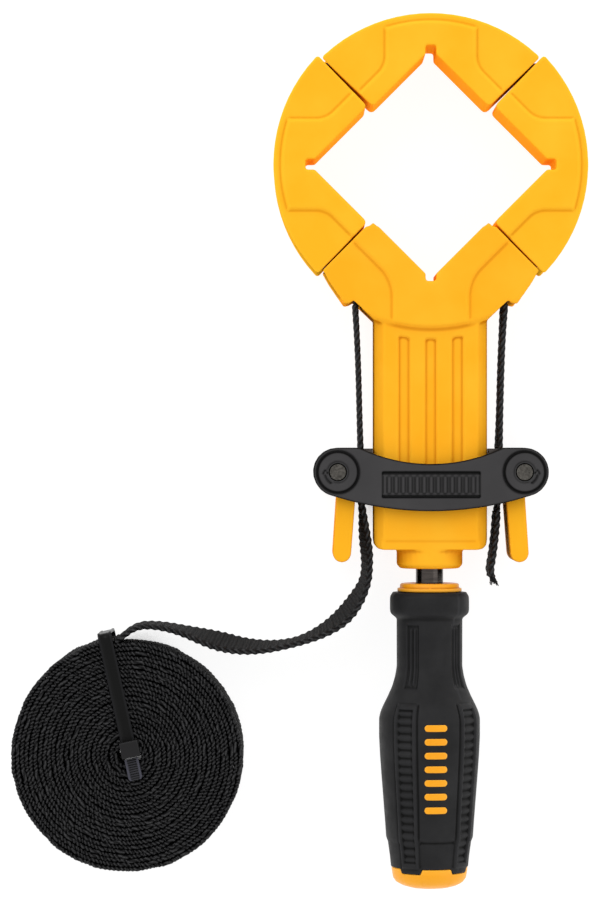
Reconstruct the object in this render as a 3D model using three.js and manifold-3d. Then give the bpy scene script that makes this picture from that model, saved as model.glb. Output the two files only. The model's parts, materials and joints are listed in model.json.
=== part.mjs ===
// A screw-tensioned band clamp: four V jaws in a loop of webbing, a crossbar that a spindle draws along the
// body, and two cam levers that hold the band. Lengths are in millimetres. The clamp lies on its back: its
// long axis runs along Y, the front face looks up along +Z, and depths are measured down from the middle of
// the jaw ring towards the handle.

import * as THREE from 'three';
import { mergeVertices } from 'three/addons/utils/BufferGeometryUtils.js';
import Module from 'manifold-3d';

const wasm = await Module();
wasm.setup();

// Fits
const fitGap = 0.3;
const slideGap = 0.5;
const overrun = 3;

// Webbing
const bandWidth = 25;
const bandThickness = 1.4;

// Jaw ring
const ringRadius = 62.8;
const flangeWall = 2;
const padRise = 1;
const padInset = 0.4;
const padBandWidth = 11.1;
const padStemWidth = 29.4;
const padStemCorner = 1.15;
const padStemFlare = 4.1;
const padRimInset = 2.9;
const jawSeatInset = 14.5;
const jawEndClearance = 0.85;
const jawEndRelief = 0.5;
const jawCornerRadius = 2;
const seatSlotWidth = 4.2;
const seatSlotCut = 1.6;
const jawWall = 3;
const rimSteps = 64;
const channelDepth = 5.5;
const channelSideGap = 0.5;
const sideJawShift = 0.3;
const sideJawRise = 1.8;
const topJawDrop = 0.33;

// Frame. The flange's corners are shares of the ring's radius, across and down.
const frameSeatInset = 18.7;
const frameEndReach = 1.94;
const frameToeWidth = 4.8;
const stepRise = 1.8;
const flangeTopShares = [0.69, 0.646];
const flangeToothShares = [0.645, 0.726];
const flangeTipShares = [0.546, 0.869];
const flangeNotchShares = [0.5, 0.831];
const guideRadius = 2.2;
const bandLegGap = 7.3;
const channelInnerGap = 5;
const bodyWidth = 45.6;
const bodyCover = 1.5;
const bodyBevelWidth = 4.1;
const bodyBevelDrop = 4;
const bodyShoulder = 11.9;
const bodyCornerRadius = 4;
const bodyWall = 2.8;
const lowerBlockGap = 8.55;
const lowerBlockHeight = 16.2;
const collarRadius = 13.4;
const collarHeight = 7.7;
const stripWidth = 4.6;
const stripPitch = 10.7;
const stripDepth = 0.6;
const stripTopInset = 12;
const stripEndInset = 4.5;
const footStepHeight = 4.4;

// Screws in the frame
const screwRadius = 1.5;
const screwHeadRadius = 3.2;
const screwHeadHeight = 2.4;
const screwTipCover = 3.6;
const screwBossRadius = 4;
const screwSink = 1;
const headScrewInset = 19.8;
const headScrewAngle = 35;
const bodyScrewInset = 7.2;

// Spindle and its bearings
const spindleRadius = 5.55;
const spindleTipLength = 1.1;
const spindleInHandle = 65.6;
const upperBushRadius = 8;
const upperBushInset = 17.5;
const upperBushLength = 10;
const upperBushRecess = 0.4;
const lowerBushRadius = 9;
const lowerBushInset = 2.5;
const lowerBushLength = 10;
const washerThickness = 1.5;
const thrustCollarLength = 5.6;
const thrustCollarRadius = 9.2;
const crossPinRadius = 2;
const crossPinInset = 29.6;

// Handle
const handleGap = 6;
const ferruleLength = 3.4;
const ferruleRadius = 13;
const ferruleNoseRadius = 11.9;
const gripLength = 113;
const gripRadius = 20.4;
const gripEndShare = 0.755;
const gripSteps = 24;
const coreRadius = 9;
const capLength = 6.5;
const capInset = 0.6;

// Crossbar
const crossbarTravel = 40;
const crossbarTopGap = 1.05;
const plateGap = 0.4;
const plateThickness = 5.2;
const bossRise = 0.8;
const bossRadius = 8;
const crossbarEndRadius = 9.8;
const crossbarFlatInset = 8.4;
const crossbarWaistRise = 3.25;
const crossbarBellyDrop = 15.65;
const crossbarBellyReach = 1.3;
const badgeWidth = 39;
const badgeHeight = 10.2;
const badgeDrop = 5.05;
const badgeSink = 0.5;
const nutBlockHeight = 13;
const nutBlockPlay = 0.7;
const nutBulgeInset = 7;
const nutArmDepth = 11;
const nutRadius = 8;
const nutFlangeRadius = 9.4;
const nutFlangeLength = 1.6;
const anvilThickness = 3.6;
const anvilRise = 9.45;
const anvilDrop = 9.75;
const tenonHeight = 10;
const tenonLength = 3.9;
const pinRadius = 3.2;
const bandExitLean = 0.85;
const bandExitDrop = 0.1;
const tailLength = 29.4;

// Cam levers
const camRadius = 7.8;
const camOffset = 0.5;
const camGap = 0.4;
const leverThickness = 7.4;
const leverLength = 36.2;
const leverRootX = 3.6;
const leverTipX = 1.7;

// Coil of spare webbing and its tie
const coilX = -122.2;
const coilDepth = 235.6;
const coilRadius = 47;
const coilBore = 4.9;
const coilThickness = 1.33;
const coilPitch = 1.8;
const loopSteps = 24;
const coilEndAngle = 100;
const coilTail = 6;
const leadSteps = 50;
const tailSteps = 14;
const tieWidth = 5;
const tieThickness = 1.1;
const tieSlack = 4.5;
const tieCornerRadius = 2;
const tieAngle = 99.4;
const tieHeadLength = 6.5;
const tieHeadWidth = 7.5;
const tieHeadHeight = 4.5;
const tieHeadOffset = 1.4;
const tieTailLength = 9.4;

// Jaw places that follow from the sizes above
const jawSeatDepth = ringRadius - jawSeatInset;
const padLine = jawSeatDepth + padBandWidth;
const channelFloor = ringRadius - channelDepth;
const channelHalf = bandWidth / 2 + channelSideGap;
const ringHalf = channelHalf + flangeWall + padRise;
const bandRadius = channelFloor + fitGap + bandThickness / 2;
const jawTop = ringRadius - topJawDrop;

// Places down the body, from the frame's seat to the end of the handle
const frameSeatDepth = ringRadius - frameSeatInset;
const frameToeDepth = (frameSeatDepth + frameEndReach) / 2;
const stepRadius = ringRadius + stepRise;
const bodyTop = frameSeatDepth + bodyShoulder;
const upperBushTop = frameSeatDepth + upperBushInset;
const spindleTop = upperBushTop - spindleTipLength;
const upperBlockEnd = upperBushTop + upperBushLength + upperBushRecess;
const nutTopAtPivot = nutBlockHeight / 2 + fitGap + nutFlangeLength;
const pivotDepth = upperBlockEnd + crossbarTopGap + crossbarTravel + nutTopAtPivot;
const lowerBlockStart = pivotDepth + nutBlockHeight / 2 + lowerBlockGap;
const lowerBushTop = lowerBlockStart + lowerBushInset;
const bodyBottom = lowerBlockStart + lowerBlockHeight;
const collarEnd = bodyBottom + collarHeight;
const ferruleTop = collarEnd + handleGap;
const spindleEnd = ferruleTop + spindleInHandle;
const crossPinDepth = ferruleTop + crossPinInset;
const gripTop = ferruleTop + ferruleLength + fitGap;
const gripEnd = gripTop + gripLength;
const capTop = gripEnd + fitGap;
const handleEnd = capTop + capLength;
const capRadius = gripEndShare * gripRadius - capInset;
const ringCentreY = (handleEnd - jawTop) / 2;

// Places across the body and the crossbar
const bodyHalf = bandWidth / 2 + bodyCover;
const bodySide = bodyWidth / 2;
const screwLength = 2 * bodyHalf - screwSink - screwHeadHeight - screwTipCover;
const bandLegTopX = bodySide + bandLegGap;
const channelInnerX = bodySide + channelInnerGap;
const plateInnerZ = bodyHalf + plateGap;
const plateFaceZ = plateInnerZ + plateThickness;
const crossbarHalfDepth = plateFaceZ + bossRise;
const axisHeight = crossbarHalfDepth;
const leverDepth = 2 * (plateInnerZ - slideGap);
const nutBlockDepth = 2 * (bodyHalf - bodyWall - nutBlockPlay);
const nutBlockBulge = 2 * (bodySide - bodyWall - nutBulgeInset);
const anvilInnerX = bodySide + slideGap;
const anvilOuterX = anvilInnerX + anvilThickness;
const anvilTop = pivotDepth - anvilRise;
const anvilEnd = pivotDepth + anvilDrop;
const bandInCrossbarX = anvilOuterX + fitGap + bandThickness / 2;
const pivotX = bandInCrossbarX + bandThickness / 2 + camGap + camRadius + camOffset;
const crossbarFlatX = pivotX - crossbarFlatInset;
const crossbarBellyX = pivotX + crossbarBellyReach;
const crossbarBellyDepth = pivotDepth + crossbarBellyDrop;

// Places in the coil
const coilBottom = tieThickness + fitGap;
const coilOuter = coilRadius - coilThickness / 2;
const coilLoops = Math.floor((coilOuter - coilBore) / coilPitch);
const tieReach = coilRadius + tieSlack;

const diagonal = Math.SQRT2;
const radians = THREE.MathUtils.degToRad;

// Colours and finishes
const finish = (color, roughness, metalness = 0) => (
  new THREE.MeshStandardMaterial({ color, roughness, metalness }));
const yellowPlastic = () => finish('#fdba26', 0.45);
const blackPlastic = () => finish('#444244', 0.6);
const blackRubber = () => finish('#2a2a2a', 0.85);
const blackWebbing = () => finish('#1c1c1e', 0.9);
const blackNylon = () => finish('#262628', 0.4);
const darkSteel = () => finish('#4a4a4c', 0.25, 1);
const castSteel = () => finish('#8a8a8c', 0.5, 1);
const bronze = () => finish('#a9804a', 0.4, 1);

// Solids

// A closed triangle mesh with its shared corners merged becomes a solid that can be joined and cut.
function solid(geometry) {
  geometry.deleteAttribute('normal');
  geometry.deleteAttribute('uv');
  const merged = mergeVertices(geometry);
  const corners = merged.index.array;
  const triVerts = [];
  for (let i = 0; i < corners.length; i += 3) {
    const [a, b, c] = corners.slice(i, i + 3);
    if (a !== b && b !== c && c !== a) triVerts.push(a, b, c);
  }
  return new wasm.Manifold(new wasm.Mesh({
    numProp: 3,
    vertProperties: new Float32Array(merged.attributes.position.array),
    triVerts: new Uint32Array(triVerts),
  }));
}

function named(name, shape, material) {
  let geometry = shape;
  if (!shape.isBufferGeometry) {
    const { vertProperties, triVerts } = shape.getMesh();
    geometry = new THREE.BufferGeometry();
    geometry.setAttribute('position', new THREE.BufferAttribute(vertProperties, 3));
    geometry.setIndex(new THREE.BufferAttribute(triVerts, 1));
  }
  geometry.computeVertexNormals();
  const mesh = new THREE.Mesh(geometry, material);
  mesh.name = name;
  return mesh;
}

// An outline in X and Y, raised from one height to another.
function plate(outline, low, high) {
  const shape = new THREE.Shape(outline.map(([x, y]) => new THREE.Vector2(x, y)));
  const geometry = new THREE.ExtrudeGeometry(shape, { depth: high - low, bevelEnabled: false });
  geometry.translate(0, 0, low);
  return solid(geometry);
}

// An outline in X and Z, drawn along Y.
function beam(outline, low, high) {
  const shape = new THREE.Shape(outline.map(([x, z]) => new THREE.Vector2(x, -z)));
  const geometry = new THREE.ExtrudeGeometry(shape, { depth: high - low, bevelEnabled: false });
  geometry.rotateX(-Math.PI / 2);
  geometry.translate(0, low, 0);
  return solid(geometry);
}

function box(x, y, z) {
  return plate([[x[0], y[0]], [x[1], y[0]], [x[1], y[1]], [x[0], y[1]]], z[0], z[1]);
}

function arc(x, y, radius, from, to, steps) {
  const points = [];
  for (let i = 0; i <= steps; i += 1) {
    const angle = radians(from + (to - from) * i / steps);
    points.push([x + radius * Math.cos(angle), y + radius * Math.sin(angle)]);
  }
  return points;
}

function disc(x, y, radius, low, high, steps = 24) {
  return plate(arc(x, y, radius, 0, 360, steps).slice(0, -1), low, high);
}

// A profile of radius and place along the axis, turned about Y, or about Z.
function turned(profile, steps = 24, aboutZ = false) {
  const geometry = new THREE.LatheGeometry(profile.map(([r, y]) => new THREE.Vector2(r, y)), steps);
  if (aboutZ) geometry.rotateX(Math.PI / 2);
  return solid(geometry);
}

function rod(radius, low, high, steps = 24) {
  return turned([[0, low], [radius, low], [radius, high], [0, high]], steps);
}

// A rounded corner between three points of an outline.
function rounded(before, corner, after, radius, steps = 3) {
  const into = new THREE.Vector2(before[0] - corner[0], before[1] - corner[1]).normalize();
  const out = new THREE.Vector2(after[0] - corner[0], after[1] - corner[1]).normalize();
  const half = Math.acos(THREE.MathUtils.clamp(into.dot(out), -1, 1)) / 2;
  const reach = radius / Math.tan(half);
  const points = [];
  for (let i = 0; i <= steps; i += 1) {
    const t = i / steps;
    const a = (1 - t) * (1 - t) * reach;
    const b = t * t * reach;
    points.push([corner[0] + into.x * a + out.x * b, corner[1] + into.y * a + out.y * b]);
  }
  return points;
}

const mirrored = (points) => points.map(([x, y]) => [-x, y]).reverse();
const turnedOver = (points) => points.map(([x, y]) => [-x, -y]);

// A strap along a route of [x, y, z, lean in degrees]. Its width stands along Z, leaning about the route.
function strap(route, width, thickness) {
  const flatShare = 0.47;
  const half = [[0.5, 0], [flatShare, 0.5], [-flatShare, 0.5]];
  const section = [...half, ...turnedOver(half)];
  const places = route.map(([x, y, z]) => new THREE.Vector3(x, y, z));
  const positions = [];
  const faces = [];
  const sides = section.length;
  route.forEach(([, , , lean = 0], i) => {
    const next = places[Math.min(i + 1, places.length - 1)];
    const tangent = next.clone().sub(places[Math.max(i - 1, 0)]).normalize();
    const upright = new THREE.Vector3(0, 0, 1);
    upright.addScaledVector(tangent, -upright.dot(tangent)).normalize();
    const across = upright.applyAxisAngle(tangent, radians(lean));
    const normal = tangent.clone().cross(across);
    for (const [a, n] of section) {
      const point = places[i].clone().addScaledVector(across, a * width);
      point.addScaledVector(normal, n * thickness);
      positions.push(point.x, point.y, point.z);
    }
  });
  for (let i = 0; i + 1 < places.length; i += 1) {
    for (let k = 0; k < sides; k += 1) {
      const a = i * sides + k;
      const b = i * sides + (k + 1) % sides;
      faces.push(a, b, b + sides, a, b + sides, a + sides);
    }
  }
  const last = (places.length - 1) * sides;
  for (let k = 1; k + 1 < sides; k += 1) {
    faces.push(0, k + 1, k, last, last + k, last + k + 1);
  }
  const geometry = new THREE.BufferGeometry();
  geometry.setAttribute('position', new THREE.Float32BufferAttribute(positions, 3));
  geometry.setIndex(faces);
  return geometry;
}

const level = (points, z = 0) => points.map(([x, y]) => [x, y, z, 0]);

// Jaws

const endLine = (clearance) => clearance * diagonal;

// Where the 45 degree end face, set off from the jaw's corner line, crosses a circle and a seat line.
function endOnCircle(radius, clearance) {
  const half = endLine(clearance) / 2;
  const x = Math.sqrt(radius * radius / 2 - half * half) - half;
  return [x, x + endLine(clearance)];
}

function endOnLine(line, clearance) {
  return [(line - endLine(clearance)) / 2, (line + endLine(clearance)) / 2];
}

// The raised pad: a stem from the rim and a band along the V.
function padOutline(seatDepth, rimRadius, slotTop, innerEnd, outerEnd) {
  const stem = padStemWidth / 2;
  const seatLine = seatDepth + padInset * diagonal;
  const slotX = seatSlotWidth / 2 + padInset;
  const flare = stem + padStemFlare;
  const rim = Math.sqrt(rimRadius * rimRadius - stem * stem);
  const stemAngle = THREE.MathUtils.radToDeg(Math.asin(stem / rimRadius));
  const side = [
    [slotX, slotTop + padInset],
    [slotX, seatLine - slotX],
    endOnLine(seatLine, innerEnd + padInset),
    endOnLine(padLine, outerEnd + padInset),
    [flare, padLine - flare],
    ...rounded([flare, padLine - flare], [stem, padLine - stem], [stem, rim], padStemCorner, 2),
  ];
  return [...side, ...arc(0, 0, rimRadius, 90 - stemAngle, 90 + stemAngle, 8), ...mirrored(side)];
}

// The channel that guides the band round the rim.
function rimChannel() {
  const outer = disc(0, 0, ringRadius + overrun, -channelHalf, channelHalf, rimSteps);
  return outer.subtract(disc(0, 0, channelFloor, -ringHalf, ringHalf, rimSteps));
}

function corePocket(side, seatDepth, innerEnd, outerEnd) {
  const seatLine = seatDepth + jawWall * diagonal;
  const rimRadius = channelFloor - jawWall;
  const outer = endOnCircle(rimRadius, outerEnd + jawWall);
  const from = THREE.MathUtils.radToDeg(Math.atan2(outer[1], outer[0]));
  const inner = seatSlotWidth / 2 + jawWall;
  const to = THREE.MathUtils.radToDeg(Math.acos(inner / rimRadius));
  const seat = [[inner, seatLine - inner], endOnLine(seatLine, innerEnd + jawWall)];
  const half = [...seat, ...arc(0, 0, rimRadius, from, to, 8)];
  return side > 0 ? half : mirrored(half);
}

function jawOutline() {
  const innerEnd = jawEndClearance + jawEndRelief;
  const slot = seatSlotWidth / 2;
  const inner = endOnLine(jawSeatDepth, innerEnd);
  const outer = endOnCircle(ringRadius, jawEndClearance);
  const rimStart = THREE.MathUtils.radToDeg(Math.atan2(outer[1], outer[0]) + jawCornerRadius / ringRadius);
  const firstRim = [ringRadius * Math.cos(radians(rimStart)), ringRadius * Math.sin(radians(rimStart))];
  const side = [
    [slot, jawSeatDepth + seatSlotCut],
    [slot, jawSeatDepth - slot],
    ...rounded([slot, jawSeatDepth - slot], inner, outer, jawCornerRadius),
    ...rounded(inner, outer, firstRim, jawCornerRadius / 2),
  ];
  return [...side, ...arc(0, 0, ringRadius, rimStart, 180 - rimStart, 20), ...mirrored(side)];
}

// One jaw, pointing up along Y from the middle of the ring. The rear is cored out.
function jawShape() {
  const innerEnd = jawEndClearance + jawEndRelief;
  const slotTop = jawSeatDepth + seatSlotCut;
  const face = ringHalf - padRise;
  const pad = padOutline(jawSeatDepth, ringRadius - padRimInset, slotTop, innerEnd, innerEnd);
  let jaw = plate(jawOutline(), -ringHalf, face);
  jaw = jaw.add(plate(pad, face - padRise, ringHalf));
  jaw = jaw.subtract(rimChannel());
  for (const side of [-1, 1]) {
    const pocket = corePocket(side, jawSeatDepth, innerEnd, jawEndClearance);
    jaw = jaw.subtract(plate(pocket, -ringHalf - overrun, face - jawWall));
  }
  return jaw;
}

function jaws() {
  const shape = jawShape();
  const places = [
    ['left_jaw', 90, -sideJawShift, sideJawRise],
    ['top_jaw', 0, 0, -topJawDrop],
    ['right_jaw', -90, sideJawShift, sideJawRise],
  ];
  return places.map(([name, angle, x, y]) => {
    const mesh = named(name, shape, yellowPlastic());
    mesh.rotation.z = radians(angle);
    mesh.position.set(x, y, 0);
    return mesh;
  });
}

// Frame: drawn with the V pointing up, as a jaw is, then turned over so that it points down.

const guideReach = guideRadius + fitGap + bandThickness / 2;
const guideX = bandLegTopX + guideReach;
const guideDepth = Math.sqrt((bandRadius + guideReach) ** 2 - guideX ** 2);
const frameSlotTop = frameSeatDepth + seatSlotCut / 2;

function headOutline() {
  const slot = seatSlotWidth / 2;
  const stepAngle = THREE.MathUtils.radToDeg(Math.acos(bodySide / stepRadius));
  const toeX = frameSeatDepth - frameToeDepth;
  const corners = [flangeTopShares, flangeToothShares, flangeTipShares, flangeNotchShares];
  const [top, tooth, tip, notch] = corners.map(([across, down]) => [across * ringRadius, down * ringRadius]);
  const side = [
    [slot, frameSlotTop],
    [slot, frameSeatDepth - slot],
    [toeX, frameToeDepth],
    [toeX + frameToeWidth, frameToeDepth],
    top,
    tooth,
    ...rounded(tooth, tip, notch, jawCornerRadius / 2),
    notch,
  ];
  return turnedOver([...side, ...arc(0, 0, stepRadius, stepAngle, 180 - stepAngle, 12), ...mirrored(side)]);
}

function bodySolid() {
  const face = bodySide - bodyBevelWidth;
  const bevel = bodyHalf - bodyBevelDrop;
  const quarter = [[bodySide, -bevel], [bodySide, bevel], [face, bodyHalf]];
  const section = [...quarter, [-face, bodyHalf], [-bodySide, bevel], [-bodySide, -bevel], [-face, -bodyHalf],
    [face, -bodyHalf]];
  const bottomRight = [bodySide, -bodyBottom];
  const bottomLeft = [-bodySide, -bodyBottom];
  const outline = [
    [-bodySide, -bodyTop],
    ...rounded([-bodySide, 0], bottomLeft, [0, -bodyBottom], bodyCornerRadius),
    ...rounded([0, -bodyBottom], bottomRight, [bodySide, 0], bodyCornerRadius),
    [bodySide, -bodyTop],
  ];
  const body = beam(section, -bodyBottom - overrun, -frameSeatDepth);
  return body.intersect(plate(outline, -bodyHalf - overrun, bodyHalf + overrun));
}

function screwPlaces() {
  const headRadius = ringRadius - headScrewInset;
  const headX = headRadius * Math.sin(radians(headScrewAngle));
  const headY = -headRadius * Math.cos(radians(headScrewAngle));
  const bodyX = bodySide - bodyScrewInset;
  const upperY = -(spindleTop + upperBlockEnd) / 2;
  const lowerY = -(lowerBlockStart + bodyBottom) / 2;
  const places = [[headX, headY], [bodyX, upperY], [bodyX, lowerY]];
  return places.flatMap(([x, y]) => [[-x, y], [x, y]]);
}

function slotCuts() {
  const high = -pivotDepth + crossbarTravel + nutBlockHeight / 2 + slideGap;
  const low = -pivotDepth - nutBlockHeight / 2 - slideGap;
  const half = nutArmDepth / 2 + slideGap;
  return box([-bodySide - overrun, bodySide + overrun], [low, high], [-half, half]);
}

function bearingCuts() {
  const bore = spindleRadius + slideGap;
  const upper = rod(upperBushRadius + fitGap, -upperBlockEnd - overrun, -upperBushTop + fitGap);
  const upperEnd = rod(bore, -upperBlockEnd, -spindleTop + slideGap);
  const lower = rod(bore, -collarEnd - overrun, -lowerBlockStart + overrun);
  const lowerSeatEnd = lowerBushTop + lowerBushLength + fitGap;
  const lowerSeat = rod(lowerBushRadius + fitGap, -lowerSeatEnd, -lowerBushTop + fitGap);
  const thrustEnd = lowerSeatEnd + washerThickness + fitGap + thrustCollarLength + fitGap;
  const thrust = rod(thrustCollarRadius + fitGap, -thrustEnd, -lowerSeatEnd + fitGap);
  return upper.add(upperEnd).add(lower).add(lowerSeat).add(thrust);
}

function frameSolid() {
  const face = ringHalf - padRise;
  const reachIn = padInset - frameEndReach;
  const pad = turnedOver(padOutline(frameSeatDepth, stepRadius - padInset, frameSlotTop, reachIn, reachIn));
  let frame = plate(headOutline(), -face, face);
  frame = frame.add(plate(pad, -ringHalf, ringHalf)).add(bodySolid());
  frame = frame.add(rod(collarRadius, -collarEnd, -bodyBottom + overrun, 32));
  for (const side of [-1, 1]) {
    const edges = [side * channelInnerX, side * (ringRadius + overrun)].sort((a, b) => a - b);
    const reach = box(edges, [-stepRadius - overrun, 0], [-channelHalf, channelHalf]);
    frame = frame.subtract(reach.subtract(disc(0, 0, channelFloor, -ringHalf, ringHalf, rimSteps)));
    frame = frame.add(disc(side * guideX, -guideDepth, guideRadius, -face + padRise, face - padRise, 16));
    const pocket = turnedOver(corePocket(side, frameSeatDepth, -frameEndReach, -frameEndReach));
    frame = frame.subtract(plate(pocket, -face + jawWall, face - jawWall));
  }
  const inside = bodySide - bodyWall;
  const insideDepth = bodyHalf - bodyWall;
  const hollow = box([-inside, inside], [-lowerBlockStart, -upperBlockEnd], [-insideDepth, insideDepth]);
  frame = frame.subtract(hollow);
  for (const [x, y] of screwPlaces().slice(0, 2)) {
    frame = frame.add(disc(x, y, screwBossRadius, -face + padRise, face - padRise, 16));
  }
  frame = frame.subtract(slotCuts()).subtract(bearingCuts());
  const sunk = [bodyHalf - stripDepth, bodyHalf + overrun];
  const strip = [-lowerBlockStart + stripEndInset, -bodyTop - stripTopInset];
  for (const x of [-stripPitch, 0, stripPitch]) {
    frame = frame.subtract(box([x - stripWidth / 2, x + stripWidth / 2], strip, sunk));
  }
  const foot = [-bodyBottom - overrun, -bodyBottom + footStepHeight];
  return frame.subtract(box([-bodySide, bodySide], foot, sunk));
}

// The two shells meet at the middle plane. The screws go in from the rear.
function frameShells() {
  const whole = frameSolid();
  const wide = ringRadius + overrun;
  const far = ringHalf + overrun;
  const span = [-collarEnd - overrun, 0];
  let front = whole.intersect(box([-wide, wide], span, [fitGap / 2, far]));
  let rear = whole.intersect(box([-wide, wide], span, [-far, -fitGap / 2]));
  const hole = screwRadius + fitGap;
  for (const [x, y] of screwPlaces()) {
    const headSeat = -bodyHalf + screwSink + screwHeadHeight;
    front = front.subtract(disc(x, y, hole, -overrun, headSeat + screwLength + slideGap, 12));
    rear = rear.subtract(disc(x, y, hole, -far, overrun, 12));
    rear = rear.subtract(disc(x, y, screwHeadRadius + fitGap, -far - overrun, headSeat + fitGap, 16));
  }
  const shells = [['frame_front_shell', front], ['frame_rear_shell', rear]];
  return shells.map(([name, shell]) => named(name, shell, yellowPlastic()));
}

function frameScrews() {
  const seat = -bodyHalf + screwSink;
  const profile = [
    [0, seat],
    [screwHeadRadius, seat],
    [screwHeadRadius, seat + screwHeadHeight],
    [screwRadius, seat + screwHeadHeight],
    [screwRadius, seat + screwHeadHeight + screwLength - screwRadius],
    [0, seat + screwHeadHeight + screwLength],
  ];
  return screwPlaces().map(([x, y], i) => {
    const mesh = named(`frame_screw_${i + 1}`, turned(profile, 12, true), castSteel());
    mesh.position.set(x, y, 0);
    return mesh;
  });
}

// Spindle, its bearings and the handle

function ring(outer, inner, top, length, steps = 24) {
  const low = -top - length;
  return rod(outer, low, -top, steps).subtract(rod(inner, low - overrun, -top + overrun, steps));
}

function bearings() {
  const bore = spindleRadius + fitGap;
  const washerTop = lowerBushTop + lowerBushLength + fitGap;
  const collarTop = washerTop + washerThickness + fitGap;
  return [
    named('upper_bush', ring(upperBushRadius, bore, upperBushTop, upperBushLength), bronze()),
    named('lower_bush', ring(lowerBushRadius, bore, lowerBushTop, lowerBushLength), bronze()),
    named('thrust_washer', ring(thrustCollarRadius, bore, washerTop, washerThickness), castSteel()),
    named('thrust_collar', ring(thrustCollarRadius, bore, collarTop, thrustCollarLength), darkSteel()),
  ];
}

// A rod along X through the spindle, for the cross pin and its hole.
function crossRod(radius, half) {
  const geometry = new THREE.CylinderGeometry(radius, radius, 2 * half, 12);
  geometry.rotateZ(Math.PI / 2);
  geometry.translate(0, -crossPinDepth, 0);
  return solid(geometry);
}

function spindle() {
  const chamfer = spindleRadius / 5;
  const shape = turned([
    [0, -spindleEnd],
    [spindleRadius - chamfer, -spindleEnd],
    [spindleRadius, -spindleEnd + chamfer],
    [spindleRadius, -spindleTop - chamfer],
    [spindleRadius - chamfer, -spindleTop],
    [0, -spindleTop],
  ], 24);
  const bored = shape.subtract(crossRod(crossPinRadius + fitGap, coreRadius));
  return [named('spindle', bored, darkSteel()),
    named('spindle_pin', crossRod(crossPinRadius, coreRadius - fitGap), castSteel())];
}

// The grip's outline as shares of its length and of its largest radius: collar, neck, belly, step and tail.
const gripOutlineShares = [
  [0, 0.72], [0.01, 0.775], [0.022, 0.785], [0.066, 0.785], [0.078, 0.765], [0.086, 0.705], [0.09, 0.652],
  [0.265, 0.65], [0.3, 0.682], [0.335, 0.737], [0.371, 0.824], [0.406, 0.921], [0.428, 0.972], [0.45, 1],
  [0.515, 1], [0.587, 0.98], [0.658, 0.951], [0.748, 0.912], [0.819, 0.882], [0.863, 0.865], [0.88, 0.858],
  [0.886, 0.829], [0.945, 0.784], [1, gripEndShare],
];

// The end cap's dome, as shares of its length from its face and of its radius.
const capOutlineShares = [[0, 1], [0.45, 0.9], [0.72, 0.72], [0.93, 0.45], [1, 0]];
const ferruleNoseShare = 0.7;

function handle() {
  const bore = spindleRadius + fitGap;
  const inner = coreRadius + fitGap;
  const outer = gripOutlineShares.map(([along, out]) => [out * gripRadius, -gripTop - along * gripLength]);
  const grip = turned([[0, -gripEnd], ...outer.reverse(), [0, -gripTop]], gripSteps);
  const hollow = grip.subtract(rod(inner, -gripEnd - overrun, -gripTop + overrun));
  const coreBore = rod(bore, -spindleEnd - fitGap, -gripTop + overrun);
  const coreHole = crossRod(crossPinRadius + fitGap, coreRadius + overrun);
  const core = rod(coreRadius, -gripEnd, -gripTop).subtract(coreBore).subtract(coreHole);
  const nose = turned([
    [0, -ferruleTop - ferruleLength],
    [ferruleRadius, -ferruleTop - ferruleLength],
    [ferruleRadius, -ferruleTop - ferruleLength * ferruleNoseShare],
    [ferruleNoseRadius, -ferruleTop],
    [0, -ferruleTop],
  ], gripSteps);
  const ferrule = nose.subtract(rod(bore, -gripTop - overrun, -ferruleTop + overrun));
  const dome = capOutlineShares.map(([along, out]) => [out * capRadius, -capTop - along * capLength]);
  const cap = turned([...dome.reverse(), [0, -capTop]], gripSteps);
  return [
    named('handle_core', core, yellowPlastic()),
    named('handle_grip', hollow, blackRubber()),
    named('handle_ferrule', ferrule, yellowPlastic()),
    named('handle_end_cap', cap, yellowPlastic()),
  ];
}

// Crossbar

// An arc from one point to its mirror image across X = 0, through a middle depth.
function bow(x, depth, middle, steps) {
  const sag = middle - depth;
  const radius = (x * x + sag * sag) / (2 * sag);
  const points = [];
  for (let i = 0; i <= steps; i += 1) {
    const across = x - 2 * x * i / steps;
    const rise = Math.sign(radius) * Math.sqrt(radius * radius - across * across) - radius;
    points.push([across, -(middle + rise)]);
  }
  return points;
}

function crossbarOutline() {
  const topDepth = pivotDepth - crossbarEndRadius;
  const bellyEnd = pivotDepth + crossbarEndRadius;
  const rightEnd = arc(pivotX, -pivotDepth, crossbarEndRadius, -80, 90, 10);
  const belly = bow(crossbarBellyX, bellyEnd, crossbarBellyDepth, 12).slice(1, -1);
  const waist = bow(crossbarFlatX, topDepth, pivotDepth - crossbarWaistRise, 12);
  return [...rightEnd, ...waist, ...mirrored(rightEnd), ...belly.reverse()];
}

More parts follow.
